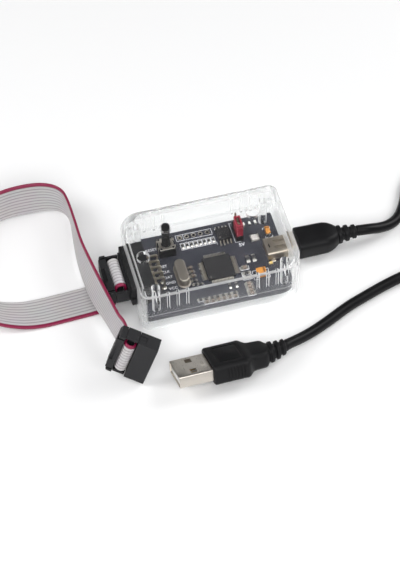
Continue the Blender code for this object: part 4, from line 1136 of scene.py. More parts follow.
# ---------------------------------------------------------------- USB socket on the board
# A folded box of plated steel with spring fingers stamped out of its top, eased edges at its
# mouth and a black tongue with contacts inside. Four feet hold it to the board.
socket_steel = brushed_metal("socket_steel", (0.6, 0.53, 0.44), (0.48, 0.42, 0.35), (0.26, 0.44), (1, 6, 1))
low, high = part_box("mini_usb_socket_shell")
mini_mid = (low + high) / 2
mini_half_y, mini_half_z = (high.y - low.y) / 2, (high.z - low.z) / 2
SHEET = 0.3 * MM


def shell_ring(inset, corner, x):
    return upright_ring(mini_half_y - inset, mini_half_z - inset, corner, x, mini_mid.y, mini_mid.z, 4)


shell_rings = [
    shell_ring(0.05 * MM, 0.6 * MM, low.x),
    shell_ring(0, 0.7 * MM, low.x + 0.1 * MM),
    shell_ring(0, 0.7 * MM, high.x - 0.1 * MM),
    shell_ring(0.05 * MM, 0.6 * MM, high.x),
    shell_ring(SHEET - 0.05 * MM, 0.4 * MM, high.x),
    shell_ring(SHEET, 0.4 * MM, high.x - 0.1 * MM),
    shell_ring(SHEET, 0.4 * MM, low.x + SHEET),
]
finger_slots = bmesh.new()
SLOT = 0.48 * MM
top_low, top_high = high.z - SHEET * 1.6, high.z + 0.5 * MM
for side in (-1, 1):
    y = mini_mid.y + side * 1.35 * MM
    for near in (-0.62 * MM, 0.62 * MM - SLOT):
        add_block(
            finger_slots,
            (low.x + 3.1 * MM, y + near, top_low),
            (low.x + 7.2 * MM, y + near + SLOT, top_high),
        )
cross_slots = bmesh.new()
for side in (-1, 1):
    y = mini_mid.y + side * 1.35 * MM
    add_block(
        cross_slots,
        (low.x + 7.15 * MM, y - 0.6 * MM, top_low),
        (low.x + 7.15 * MM + SLOT, y + 0.6 * MM, top_high),
    )
mouth_slot = blocks(
    (
        (low.x + 1.1 * MM, mini_mid.y - 0.9 * MM, top_low),
        (low.x + 1.1 * MM + SLOT, mini_mid.y + 0.9 * MM, top_high),
    )
)
with_cuts(
    "mini_socket_shell",
    loft(shell_rings),
    [finger_slots, cross_slots, mouth_slot],
    socket_steel,
    "programmer",
    ("mini_usb_socket_shell",),
)
feet = bmesh.new()
for x in (low.x + 1.2 * MM, high.x - 3.4 * MM):
    for side in (-1, 1):
        near, far = sorted(
            (mini_mid.y + side * (mini_half_y - 0.1 * MM), mini_mid.y + side * (mini_half_y + 0.75 * MM))
        )
        add_block(feet, (x, near, BOARD_TOP + 0.01 * MM), (x + 1.5 * MM, far, BOARD_TOP + 0.3 * MM))
piece("mini_socket_feet", feet, solder, "programmer", 0.1 * MM)
low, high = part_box("mini_usb_socket_tongue")
tongue_mid = (low + high) / 2
tongue = blocks(
    (low, (low.x + 1.6 * MM, high.y, high.z)),
    (
        (low.x + 1.5 * MM, tongue_mid.y - 2.2 * MM, tongue_mid.z - 0.45 * MM),
        (high.x, tongue_mid.y + 2.2 * MM, tongue_mid.z + 0.45 * MM),
    ),
)
piece(
    "mini_socket_tongue",
    tongue,
    black_nylon,
    "programmer",
    0.08 * MM,
    stands_for=("mini_usb_socket_tongue",),
)
gold_plate = brushed_metal("gold_plate", (0.86, 0.6, 0.28), (0.75, 0.5, 0.22), (0.2, 0.35), (6, 1, 1))
contact = blocks(((0, -0.16 * MM, 0), (3.6 * MM, 0.16 * MM, 0.04 * MM)))
contact_start = Matrix.Translation((low.x + 1.7 * MM, tongue_mid.y - 1.6 * MM, tongue_mid.z + 0.45 * MM))
row("mini_socket_contacts", contact, 5, (0, 0.8 * MM, 0), gold_plate, "programmer", contact_start, (), 0)


# ---------------------------------------------------------------- case
# Two clear polystyrene shells with polished faces: a tray with four standoffs, and a deep lid
# with posts that pin the board down, webs, locating ribs, a button hole and two round holes.
CASE_WALL = 1.8 * MM
CORNERS = (3.0 * MM, 8.0 * MM, 3.0 * MM, 8.0 * MM)
POST_INSET = (6.0 * MM, 5.6 * MM)
POST_RADIUS = 1.5 * MM
PEG_RADIUS = 0.8 * MM
RIB, RIB_DEPTH, RIB_PITCH, RIB_FROM_END = 0.9 * MM, 1.0 * MM, 3.45 * MM, 9.6 * MM
WEB, WEB_DROP = 1.1 * MM, 4.0 * MM
lid_low, lid_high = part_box("case_top")
tray_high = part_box("case_bottom")[1]
case_x, case_y = tray_high.x, tray_high.y
LEFT_END, RIGHT_END = Vector((-case_x, 0, 0)), Vector((case_x, 0, 0))
lid_rim = tray_high.z + 0.1 * MM
lid_under = lid_high.z - CASE_WALL


def clear_finish(name, gloss, painted_reflection, shade=1.0):
    """Clear plastic that lets soft light through and casts only a faint shadow.

    Its third argument sets a white diffuse and translucent layer, a painted reflection of the pale
    surroundings: least on flat faces, more on edges and at a glancing view.
    """
    material, shader = plain_material(name, (0.966, 0.97, 0.97), gloss)
    set_inputs(
        shader,
        {"IOR": 1.13, "Transmission Weight": 1.0, "Coat Weight": 0.45, "Coat Roughness": 0.03},
    )
    tree = material.node_tree
    place = add_node(tree, "ShaderNodeTexCoord")
    ripple = add_node(tree, "ShaderNodeTexNoise", {"Scale": 45})
    bump = add_node(tree, "ShaderNodeBump", {"Distance": 0.0001, "Strength": 0.06})
    # Painted reflection: white diffuse and translucent shading mixed over the glass, more at a glancing
    # view.
    painted_white_layer = add_node(tree, "ShaderNodeMixShader")
    painted_white_translucent = add_node(tree, "ShaderNodeBsdfTranslucent", {"Color": (shade, shade, shade, 1)})
    painted_white_diffuse = add_node(tree, "ShaderNodeBsdfDiffuse", {"Color": (shade, shade, shade, 1)})
    glance = add_node(tree, "ShaderNodeLayerWeight", {"Blend": 0.5})
    steep = add_node(
        tree, "ShaderNodeMapRange", {
            "From Min": 0.45, "From Max": 1.0, "To Min": painted_reflection, "To Max": min(painted_reflection + 0.4, 0.8)
        }
    )
    glass_with_painted_white = add_node(tree, "ShaderNodeMixShader")
    gentle = add_node(tree, "ShaderNodeBsdfTransparent", {"Color": (0.975, 0.98, 0.98, 1)})
    ray = add_node(tree, "ShaderNodeLightPath")
    blend = add_node(tree, "ShaderNodeMixShader")
    output = tree.nodes["Material Output"]
    join(
        tree,
        (place, "Object", ripple, "Vector"), (ripple, "Fac", bump, "Height"),
        (bump, "Normal", shader, "Normal"), (glance, "Facing", steep, "Value"),
        (steep, "Result", glass_with_painted_white, "Fac"), (shader, "BSDF", glass_with_painted_white, 1), (painted_white_translucent, "BSDF", painted_white_layer, 1),
        (painted_white_diffuse, "BSDF", painted_white_layer, 2), (painted_white_layer, "Shader", glass_with_painted_white, 2),
        (ray, "Is Shadow Ray", blend, "Fac"), (glass_with_painted_white, "Shader", blend, 1),
        (gentle, "BSDF", blend, 2), (blend, "Shader", output, "Surface"),
    )
    return material


clear_plastic = clear_finish("clear_plastic", 0.025, 0.006)
# The edge finish has a strong, slightly grey white layer: painted reflection of the pale surroundings on
# the case's edges.
painted_edge_reflection = clear_finish("painted_edge_reflection", 0.1, 0.42, 0.86)


def case_ring(inset, z):
    corners = [max(radius - inset, 0.5 * MM) for radius in CORNERS]
    return flat_ring(rounded(case_x - inset, case_y - inset, corners, 12), z)


def rounded_steps(inset, z, radius, rise, steps=4):
    """Rings that turn a wall's top or bottom edge inward with a quarter round."""
    rings = []
    for step in range(steps + 1):
        angle = math.pi / 2 * step / steps
        rings.append(
            case_ring(inset + radius * (1 - math.cos(angle)), z - rise * radius * (1 - math.sin(angle)))
        )
    return rings


post_x, post_y = case_x - POST_INSET[0], case_y - POST_INSET[1]
post_places = [(side * post_x, face * post_y) for side in (-1, 1) for face in (-1, 1)]
EDGE, INNER_EDGE, RIM = 0.45 * MM, 0.3 * MM, 0.12 * MM
lid_rings = [case_ring(RIM, lid_rim), case_ring(0, lid_rim + RIM)]
lid_rings += rounded_steps(0, lid_high.z, EDGE, 1)
outer_lid = loft(lid_rings)
inner_rings = [case_ring(CASE_WALL, lid_rim - 1 * MM)] + rounded_steps(CASE_WALL, lid_under, INNER_EDGE, 1)
inner_lid = loft(inner_rings)
posts, ribs, web_blocks = bmesh.new(), bmesh.new(), bmesh.new()
for x, y in post_places:
    bottom = lid_low.z
    foot = BOARD_TOP + 0.3 * MM
    profile = [(PEG_RADIUS - 0.2 * MM, bottom), (PEG_RADIUS, bottom + 0.3 * MM), (PEG_RADIUS, foot)]
    profile += [(POST_RADIUS, foot), (POST_RADIUS, lid_under + 0.5 * MM)]
    add_loft(posts, turned_rings(profile, x=x, y=y))
    side, face = math.copysign(1, x), math.copysign(1, y)
    x_ends = sorted((x - side * 0.4 * MM, side * (case_x - CASE_WALL / 2)))
    y_ends = sorted((y + face * 0.7 * MM, face * (case_y - CASE_WALL / 2)))
    drop, top = lid_under - WEB_DROP, lid_under + 0.5 * MM
    add_block(web_blocks, (x_ends[0], y - WEB / 2, drop), (x_ends[1], y + WEB / 2, top))
    add_block(web_blocks, (x - WEB / 2, y_ends[0], drop), (x + WEB / 2, y_ends[1], top))
inner_y = case_y - CASE_WALL
for side in (-1, 1):
    for step in range(3):
        x = side * (case_x - RIB_FROM_END - step * RIB_PITCH)
        for face in (-1, 1):
            outline = [
                (x - RIB / 2, face * (inner_y + 0.5 * MM)),
                (x - RIB / 2, face * (inner_y - RIB_DEPTH + 0.2 * MM)),
                (x - RIB / 2 + 0.2 * MM, face * (inner_y - RIB_DEPTH)),
                (x + RIB / 2 - 0.2 * MM, face * (inner_y - RIB_DEPTH)),
                (x + RIB / 2, face * (inner_y - RIB_DEPTH + 0.2 * MM)),
                (x + RIB / 2, face * (inner_y + 0.5 * MM)),
            ]
            add_loft(
                ribs,
                [flat_ring(outline, lid_rim + 0.5 * MM), flat_ring(outline, lid_under + 0.5 * MM)],
            )
header_low, header_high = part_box("header_shroud")
usb_low, usb_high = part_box("mini_usb_socket_shell")
SLOT_GAP = 0.3 * MM


def end_slots(z_low, lift):
    """The openings in the end walls for the header and the USB socket."""
    return blocks(
        (
            (-case_x - 1 * MM, header_low.y - SLOT_GAP, z_low),
            (
                -case_x + CASE_WALL + 1 * MM,
                header_high.y + SLOT_GAP,
                header_high.z + SLOT_GAP if lift else case_y,
            ),
        ),
        (
            (case_x - CASE_WALL - 1 * MM, usb_low.y - SLOT_GAP, z_low),
            (case_x + 1 * MM, usb_high.y + SLOT_GAP, usb_high.z + SLOT_GAP if lift else case_y),
        ),
    )


BUTTON_HOLE, FLARE = 1.9 * MM, 0.15 * MM
ROUND_HOLES = ((case_x - 11.1 * MM, 9.25 * MM, 2.4 * MM), (-case_x + 4.9 * MM, header_mid.y, 2.2 * MM))
lid_holes = bmesh.new()
below, above = lid_under - 0.2 * MM, lid_high.z + 0.5 * MM
for x, y, radius in ((switch_x, switch_y, BUTTON_HOLE), *ROUND_HOLES):
    mouth = radius + FLARE
    flare = ((radius, below), (radius, lid_high.z - FLARE), (mouth, lid_high.z), (mouth, above))
    add_loft(lid_holes, turned_rings(flare, 40, x, y))


def shell_with(name, outer, hollow, added, cut_list, body, node):
    """A clear shell: hollowed first, then joined with its inner shapes, then cut."""
    steps = [("DIFFERENCE", hollow)] + [("UNION", part) for part in added]
    steps += [("DIFFERENCE", part) for part in cut_list]
    shape = shaped(name, outer, steps, clear_plastic)
    shell = piece(name, shape, clear_plastic, body, 0, None, (node,), 28)
    # Sloping faces and rib sides take the edge finish with its painted reflection.
    shell.data.materials.append(painted_edge_reflection)
    for polygon in shell.data.polygons:
        normal, centre = polygon.normal, polygon.center
        sloping = 0.12 < abs(normal.z) < 0.985
        rib_side = abs(normal.x) > 0.6 and abs(centre.x) < case_x - CASE_WALL - 0.4 * MM
        if sloping or rib_side:
            polygon.material_index = 1


lid_cuts = [end_slots(lid_rim - 1 * MM, True), lid_holes]
shell_with("clear_lid", outer_lid, inner_lid, [posts, web_blocks, ribs], lid_cuts, "lid", "case_top")
tray_rings = [case_ring(0.35 * MM, 0), case_ring(0.1 * MM, 0.1 * MM), case_ring(0, 0.35 * MM)]
tray_rings += [case_ring(0, tray_high.z - RIM), case_ring(RIM, tray_high.z)]
tray_inside = loft([case_ring(CASE_WALL, CASE_WALL), case_ring(CASE_WALL, tray_high.z + 1 * MM)])
standoffs, peg_holes = bmesh.new(), bmesh.new()
for x, y in post_places:
    stand = [(2.2 * MM, CASE_WALL / 2), (2.2 * MM, BOARD_LOW.z - 0.1 * MM)]
    add_loft(standoffs, turned_rings(stand, x=x, y=y))
    drilled = [(1.1 * MM, -1 * MM), (1.1 * MM, BOARD_LOW.z + 1 * MM)]
    add_loft(peg_holes, turned_rings(drilled, x=x, y=y))
tray_cuts = [peg_holes, end_slots(BOARD_TOP - SLOT_GAP, False)]
shell_with("clear_tray", loft(tray_rings), tray_inside, [standoffs], tray_cuts, "programmer", "case_bottom")


# ---------------------------------------------------------------- ten-way sockets
# Moulded body, cover and strain relief, pressed together over the ribbon: the ribbon folds
# round the cover's nose, so its loop shows through the face, red wire at one end.
RIBBON_WIDTH, RIBBON_THICKNESS = 12.7 * MM, 0.9 * MM
COVER_THICKNESS = 2.4 * MM
SOCKET_BAR = 2.65 * MM
SOCKET_BODY = 7.25 * MM
SEAM = 0.1 * MM
FOLD = 2 * RIBBON_THICKNESS + COVER_THICKNESS + 4 * SEAM
SOCKET_REACH = SOCKET_BAR + FOLD + SOCKET_BODY
socket_nylon = grained(
    "socket_nylon",
    (0.013, 0.013, 0.0145),
    (0.019, 0.019, 0.021),
    (0.46, 0.62),
    2300,
    0.55,
    shine=0.3,
)
body_low, body_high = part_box("socket_a_body")
socket_a_place = Matrix.Translation(
    (body_high.x - SOCKET_REACH, (body_low.y + body_high.y) / 2, body_high.z - SOCKET_THICKNESS / 2)
)
mating = Vector((0.833, -0.470, -0.291)).normalized()
facing = Vector((-0.435, -0.882, 0.179))
across = facing.cross(mating).normalized()
facing = mating.cross(across)
top_corner = LEFT_END + Vector((-9.66, -29.8, 20.55)) * MM
socket_b_place = Matrix((mating, across, facing)).transposed().to_4x4()
socket_b_place.translation = top_corner - across * SOCKET_LENGTH / 2 + facing * SOCKET_THICKNESS / 2


def make_socket(letter, place):
    half_y, half_z = SOCKET_LENGTH / 2, SOCKET_THICKNESS / 2
    bar = bmesh.new()
    outline = [
        (0.7 * MM, -half_y),
        (SOCKET_BAR, -half_y),
        (SOCKET_BAR, half_y),
        (0.7 * MM, half_y),
        (0, half_y - 1.6 * MM),
        (0, -half_y + 1.6 * MM),
    ]
    add_loft(bar, [flat_ring(outline, -half_z), flat_ring(outline, half_z)])
    notch = blocks(((-1 * MM, -3 * MM, half_z - 0.8 * MM), (1.2 * MM, 3 * MM, half_z + 1 * MM)))
    clip_grooves = blocks(
        (
            (-1 * MM, half_y - 1.5 * MM, half_z - 1.6 * MM),
            (SOCKET_BAR + 1 * MM, half_y - 0.9 * MM, half_z + 1 * MM),
        ),
        (
            (-1 * MM, -half_y + 0.9 * MM, half_z - 1.6 * MM),
            (SOCKET_BAR + 1 * MM, -half_y + 1.5 * MM, half_z + 1 * MM),
        ),
    )
    relief = with_cuts(
        f"socket_{letter}_bar", bar, [notch, clip_grooves], socket_nylon, None, bevel=0.12 * MM
    )
    cover_low = SOCKET_BAR + RIBBON_THICKNESS + 2 * SEAM
    radius = COVER_THICKNESS / 2
    nose_x, nose_z = cover_low + radius, half_z - RIBBON_THICKNESS - SEAM - radius
    side = [(cover_low, -half_z), (cover_low + COVER_THICKNESS, -half_z)]
    for step in range(13):
        angle = math.pi * step / 12
        side.append((nose_x + radius * math.cos(angle), nose_z + radius * math.sin(angle)))
    nose = RIBBON_WIDTH / 2 - 2.2 * MM
    cover = loft([[(x, y, z) for x, z in side] for y in (-nose, nose)])
    ends = []
    fold_low, fold_high = SOCKET_BAR + SEAM, SOCKET_BAR + FOLD - SEAM
    for face in (-1, 1):
        near, far = sorted((face * (RIBBON_WIDTH / 2 + 0.45 * MM), face * half_y))
        ends.append(blocks(((fold_low, near, -half_z), (fold_high, far, half_z - 2.6 * MM))))
        near, far = sorted((face * (half_y - 0.9 * MM), face * (half_y + 0.02 * MM)))
        ends.append(
            blocks(
                (
                    (fold_low + 0.02 * MM, near, -half_z + 0.02 * MM),
                    (fold_high - 0.02 * MM, far, half_z - 0.9 * MM),
                )
            )
        )
        near, far = sorted((face * (nose - 0.5 * MM), face * (half_y - 0.02 * MM)))
        low, high = cover_low + 0.2 * MM, cover_low + COVER_THICKNESS - 0.2 * MM
        ends.append(blocks(((low, near, -half_z + 0.01 * MM), (high, far, -half_z + 2.6 * MM))))
    cover = with_cuts(f"socket_{letter}_comb", cover, [], socket_nylon, None, joins=ends, bevel=0.1 * MM)
    low_x = SOCKET_BAR + FOLD
    body = blocks(((low_x, -half_y, -half_z), (SOCKET_REACH, half_y, half_z)))
    key = blocks(
        (
            (low_x + 1.4 * MM, -KEY_WIDTH / 2, -half_z - 0.8 * MM),
            (SOCKET_REACH - 1.2 * MM, KEY_WIDTH / 2, -half_z + 0.5 * MM),
        )
    )
    latch = blocks(
        ((low_x - 1 * MM, half_y - 0.45 * MM, -1.3 * MM), (low_x + 2.6 * MM, half_y + 1 * MM, 1.3 * MM)),
        ((low_x - 1 * MM, -half_y - 1 * MM, -1.3 * MM), (low_x + 2.6 * MM, -half_y + 0.45 * MM, 1.3 * MM)),
    )
    holes = bmesh.new()
    for tier in (-0.5, 0.5):
        for i in range(5):
            y, z = (i - 2) * PITCH, tier * PITCH
            add_block(
                holes,
                (SOCKET_REACH - 6 * MM, y - 0.45 * MM, z - 0.45 * MM),
                (SOCKET_REACH + 1 * MM, y + 0.45 * MM, z + 0.45 * MM),
            )
    body = with_cuts(
        f"socket_{letter}_housing",
        body,
        [latch, holes],
        socket_nylon,
        None,
        joins=[key],
        bevel=0.12 * MM,
    )
    springs = bmesh.new()
    for tier in (-0.5, 0.5):
        for i in range(5):
            y, z = (i - 2) * PITCH, tier * PITCH
            for face in (-1, 1):
                near, far = sorted((z + face * 0.44 * MM, z + face * 0.34 * MM))
                add_block(
                    springs,
                    (SOCKET_REACH - 5.8 * MM, y - 0.3 * MM, near),
                    (SOCKET_REACH - 0.7 * MM, y + 0.3 * MM, far),
                )
    contacts = piece(f"socket_{letter}_contacts", springs, gold_plate, None, smooth=0)
    parts = ((relief, "strain_relief"), (cover, "cover"), (body, "body"), (contacts, None))
    for part, node in parts:
        part.data.transform(place)
        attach(part, "ribbon_lead")
        if node:
            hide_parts(f"socket_{letter}_{node}")
    return [part for part, _ in parts]


socket_a_pieces = make_socket("a", socket_a_place)
socket_b_pieces = make_socket("b", socket_b_place)


# ---------------------------------------------------------------- ribbon cable
# Ten stranded wires in one grey PVC ribbon, the first marked dark red. It leaves the header's
# socket, lies flat, turns up on its edge and comes back to the loose socket.
RIBBON_DROP = (-0.15, -0.15, -1.3)
RIBBON_ROUTE = (
    ((-7.5, -0.9, 2.3), (0.0, 1.0, 0.0)),
    ((-9.4, -1.1, 0.9), (-0.03, 1.0, 0.0)),
    ((-12.3, -1.5, 0.5), (-0.06, 1.0, 0.0)),
    ((-17, -1.9, 0.5), (-0.06, 1.0, 0.0)),
    ((-24.8, -2.3, 0.5), (-0.05, 1.0, 0.0)),
    ((-32.8, -2.6, 0.5), (0.0, 1.0, 0.0)),
    ((-40.8, -2.0, 0.9), (0.1, 1.0, -0.1)),
    ((-48.8, 0.8, 2.0), (0.4, 0.9, -0.28)),
    ((-55.3, 6.3, 3.6), (0.64, 0.6, -0.55)),
    ((-59, 14.0, 5.1), (0.66, 0.2, -0.85)),
    ((-59.4, 22.5, 6.1), (0.48, -0.03, -1.2)),
    ((-56.6, 30.5, 6.6), (0.26, -0.12, -1.5)),
    ((-51, 37.2, 6.7), (0.1, -0.2, -1.5)),
    ((-43.3, 42.2, 6.7), (0.0, -0.22, -1.0)),
    ((-34.3, 44.8, 6.7), (-0.01, -0.24, -1.0)),
    ((-25.4, 45.0, 6.7), (-0.01, -0.24, -0.97)),
    ((-19.4, 43.7, 6.9), (-0.03, -0.14, -0.99)),
    ((-15.4, 40.8, 7.0), (0.0, -0.04, -1.0)),
    ((-13.8, 35.5, 7.1), (0.05, -0.02, -1.0)),
    ((-14.1, 25.6, 7.3), (-0.06, -0.01, -1.0)),
    ((-14.5, 15.3, 7.8), (-0.14, -0.02, -0.99)),
    ((-13.9, 4.7, 8.1), (-0.23, -0.05, -0.97)),
    ((-12.8, -5.4, 9.0), (-0.23, -0.08, -0.95)),
    ((-11.4, -14.4, 10.1), (-0.18, -0.04, -0.97)),
    ((-10.2, -22.0, 10.7), (-0.15, 0.0, -0.98)),
    ((-9.4, -26.4, 11.1), (-0.2, 0.0, -0.96)),
)


def fold_side():
    """The ribbon's centre line through a socket, in its frame: cut end, fold, way out."""
    half_z = SOCKET_THICKNESS / 2
    out_x = SOCKET_BAR + SEAM + RIBBON_THICKNESS / 2
    in_x = SOCKET_BAR + FOLD - SEAM - RIBBON_THICKNESS / 2
    radius = (in_x - out_x) / 2
    top_z = half_z - RIBBON_THICKNESS / 2 - radius + 0.5 * MM
    points = [(in_x, -half_z), (in_x, top_z - 1.8 * MM)]
    for step in range(13):
        angle = math.pi * step / 12
        points.append((out_x + radius + radius * math.cos(angle), top_z + radius * math.sin(angle)))
    points += [(out_x, top_z - 1.8 * MM), (out_x, -half_z)]
    return points


def smooth_curve(points, steps):
    """A smooth curve through the points."""
    ends = [points[0] * 2 - points[1], *points, points[-1] * 2 - points[-2]]
    curve = []
    for i in range(1, len(ends) - 2):
        a, b, c, d = ends[i - 1 : i + 3]
        for step in range(steps):
            t = step / steps
            bend, twist = 2 * a - 5 * b + 4 * c - d, 3 * b - a - 3 * c + d
            curve.append(0.5 * (2 * b + (c - a) * t + bend * t**2 + twist * t**3))
    curve.append(points[-1])
    return curve


def ribbon_stations():
    across_a = socket_a_place.to_3x3() @ Vector((0, 1, 0))
    across_b = socket_b_place.to_3x3() @ Vector((0, -1, 0))
    stations = [(socket_a_place @ Vector((x, 0, z)), across_a) for x, z in fold_side()]
    last = [(socket_b_place @ Vector((x, 0, z)), across_b) for x, z in reversed(fold_side())]
    way_out = stations[-1][0]
    centres = [way_out, way_out + Vector(RIBBON_DROP) * MM]
    centres += [*(LEFT_END + Vector(point) * MM for point, _ in RIBBON_ROUTE), last[0][0]]
    widths = [across_a, across_a, *(Vector(width).normalized() for _, width in RIBBON_ROUTE), across_b]
    for centre, width in zip(smooth_curve(centres, 6)[1:-1], smooth_curve(widths, 6)[1:-1]):
        stations.append((centre, width.normalized()))
    return stations + last


WIRES = 10


def ribbon_outline():
    """Across the ribbon: (side, height, wire share) round ten joined wires, red edge first."""
    top = []
    for wire in range(WIRES):
        for step in range(5):
            share = (wire + step / 5) / WIRES
            swell = math.sin(math.pi * step / 5)
            top.append((share, 0.62 + 0.38 * swell))
    top.append((1.0, 0.45))
    top[0] = (0.0, 0.45)
    outline = [
        ((share - 0.5) * RIBBON_WIDTH, height * RIBBON_THICKNESS / 2, share)
        for share, height in top
    ]
    outline += [
        ((share - 0.5) * RIBBON_WIDTH, -height * RIBBON_THICKNESS / 2, share)
        for share, height in reversed(top)
    ]
    return outline


def ribbon_finish():
    """Grey PVC with painted shade darkening the valleys between the wires, and a dark red first wire."""
    material, shader = plain_material("ribbon_pvc", (0.5, 0.48, 0.49), 0.45)
    tree = material.node_tree
    share = add_node(tree, "ShaderNodeAttribute", attribute_name="across")
    wires = add_node(tree, "ShaderNodeMath", {1: WIRES}, operation="MULTIPLY")
    part = add_node(tree, "ShaderNodeMath", operation="FRACT")
    # Painted shade across each wire: darkest in the valleys, lightest on its crest.
    painted_valley_shade = add_node(tree, "ShaderNodeValToRGB")
    stops = painted_valley_shade.color_ramp.elements
    stops[0].position, stops[0].color = 0.0, (0.24, 0.2, 0.225, 1)
    stops[1].position, stops[1].color = 1.0, (0.24, 0.2, 0.225, 1)
    for position, tone in ((0.1, 0.4), (0.25, 0.5), (0.5, 0.54), (0.75, 0.5), (0.9, 0.4)):
        stop = stops.new(position)
        stop.color = (tone, tone * 0.965, tone * 0.975, 1)
    edge = add_node(tree, "ShaderNodeValToRGB")
    edge.color_ramp.interpolation = "CONSTANT"
    edge.color_ramp.elements[0].color = (1, 1, 1, 1)
    edge.color_ramp.elements[1].position = 0.101
    edge.color_ramp.elements[1].color = (0, 0, 0, 1)
    place = add_node(tree, "ShaderNodeTexCoord")
    stain = add_node(tree, "ShaderNodeTexNoise", {"Scale": 130, "Detail": 5})
    tint = add_node(tree, "ShaderNodeMix", {"Factor": 0.12}, data_type="RGBA", blend_type="MULTIPLY")
    paint = add_node(tree, "ShaderNodeMix", {"B": (0.23, 0.008, 0.05, 1)}, data_type="RGBA")
    gloss = add_node(tree, "ShaderNodeMapRange", {"To Min": 0.34, "To Max": 0.55})
    bump = add_node(tree, "ShaderNodeBump", {"Distance": 0.00003, "Strength": 0.3})
    join(
        tree,
        (share, "Fac", wires, 0), (wires, "Value", part, 0), (part, "Value", painted_valley_shade, "Fac"),
        (share, "Fac", edge, "Fac"), (place, "Object", stain, "Vector"),
        (painted_valley_shade, "Color", tint, "A"), (stain, "Color", tint, "B"), (tint, "Result", paint, "A"),
        (edge, "Color", paint, "Factor"), (paint, "Result", shader, "Base Color"),
        (stain, "Fac", gloss, "Value"), (gloss, "Result", shader, "Roughness"),
        (stain, "Fac", bump, "Height"), (bump, "Normal", shader, "Normal"),
    )
    return material


def make_ribbon():
    stations = ribbon_stations()
    outline = ribbon_outline()
    rings, path = [], []
    for i, (centre, width) in enumerate(stations):
        before = stations[max(i - 1, 0)][0]
        after = stations[min(i + 1, len(stations) - 1)][0]
        tangent = (after - before).normalized()
        width = (width - tangent * width.dot(tangent)).normalized()
        normal = tangent.cross(width)
        reach = abs(width.z) * RIBBON_WIDTH / 2 + abs(normal.z) * RIBBON_THICKNESS / 2
        centre = centre + Vector((0, 0, max(0, 0.05 * MM + reach - centre.z)))
        path.append(centre)
        rings.append([centre + width * side + normal * height for side, height, _ in outline])
    mesh_data = loft(rings)
    bmesh.ops.recalc_face_normals(mesh_data, faces=mesh_data.faces)
    mesh = bpy.data.meshes.new("ribbon")
    mesh_data.to_mesh(mesh)
    mesh_data.free()
    shares = mesh.attributes.new("across", "FLOAT", "POINT")
    shares.data.foreach_set("value", [share for _ in rings for _, _, share in outline])
    mesh.materials.append(ribbon_finish())
    mesh.shade_smooth()
    mesh.set_sharp_from_angle(angle=math.radians(60))
    obj = add_object("ribbon", mesh, "ribbon_lead", ("ribbon_cable",))


make_ribbon()


# ---------------------------------------------------------------- plug grips
# Soft black PVC with a fine spark-eroded texture, moulded over each USB plug in one shot with
# its ribbed strain relief.
grip_pvc = grained(
    "grip_pvc", (0.005, 0.005, 0.0055), (0.008, 0.008, 0.009), (0.4, 0.56), 3200, 0.6, shine=0.2
)


def section(half_wide, half_tall, corner, x, shift):
    return upright_ring(half_wide, half_tall, corner, x, shift, steps=7)


def grip_rings(stations, steps=4):
    """Sections read from smooth curves through (x, half width, half height, corner, shift)."""
    knots = [Vector((a, b, c)) for a, b, c, _, _ in stations]
    extras = [Vector((d, e, 0)) for _, _, _, d, e in stations]
    rings = []
    for first, second in zip(smooth_curve(knots, steps), smooth_curve(extras, steps)):
        corner = min(second.x, first.y * 0.98, first.z * 0.98)
        rings.append(section(first.y, first.z, corner, first.x, second.y))
    return rings


def relief_rings(start, length, half, ribs, bend=0.0):
    """A ribbed strain relief: round flanges on a thinner core, tapering to the cable."""
    rings = []
    pitch = length / ribs
    for i in range(ribs):
        fade = 1 - 0.12 * i
        for share, scale in (
            (0.0, 0.9), (0.05, 0.98), (0.12, 1.0), (0.42, 1.0), (0.5, 0.97),
            (0.56, 0.86), (0.6, 0.74), (0.66, 0.7), (0.9, 0.7), (0.97, 0.76),
        ):
            along = (i + share) * pitch
            size = half * fade * scale
            rings.append(section(size, size, size * 0.8, start - along, bend * (along / length) ** 2))
    return rings


def usb_a_frame():
    """X toward the plug's tip, Y across it and Z out of its upper face."""
    yaw, pitch, roll = math.radians(-176.7), math.radians(2.8), math.radians(21.3)
    along = Vector((math.cos(yaw) * math.cos(pitch), math.sin(yaw) * math.cos(pitch), math.sin(pitch)))
    level = Vector((0, 0, 1)).cross(along).normalized()
    side = level * math.cos(roll) + along.cross(level) * math.sin(roll)
    place = Matrix((along, side, along.cross(side))).transposed().to_4x4()
    place.translation = RIGHT_END + Vector((-41.8, -44.9, 6.5)) * MM
    return place


mini_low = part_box("mini_plug_grip")[0]
MINI_GRIP = (10.6 * MM, 7.6 * MM)
MINI_GRIP_LENGTH, MINI_RELIEF_LENGTH = 13.2 * MM, 8.0 * MM
mini_place = Matrix.Translation((mini_low.x, usb_low.y + mini_half_y, mini_mid.z - 0.025 * MM))
mini_place = mini_place @ Matrix.Rotation(math.pi, 4, "Z")
half_w, half_h = MINI_GRIP[0] / 2, MINI_GRIP[1] / 2
long = MINI_GRIP_LENGTH
stations = [
    (0, half_w - 0.35 * MM, half_h - 0.35 * MM, 1.6 * MM, 0),
    (-0.4 * MM, half_w, half_h, 1.9 * MM, 0),
    (-3 * MM, half_w, half_h, 2.0 * MM, 0),
    (-long + 4 * MM, half_w, half_h, 2.2 * MM, 0),
    (-long + 2 * MM, half_w - 0.1 * MM, half_h - 0.05 * MM, 2.4 * MM, 0),
    (-long, half_w * 0.86, half_h * 0.92, 2.6 * MM, 0),
    (-long - 1.8 * MM, half_w * 0.62, half_h * 0.78, 2.4 * MM, 0),
]
mini_rings = grip_rings(stations) + relief_rings(-long - 2.0 * MM, MINI_RELIEF_LENGTH, 3.1 * MM, 3)
mini_grip = piece(
    "mini_plug_handle",
    loft(mini_rings),
    grip_pvc,
    "usb_lead",
    0,
    mini_place,
    ("mini_plug_grip",),
    50,
)
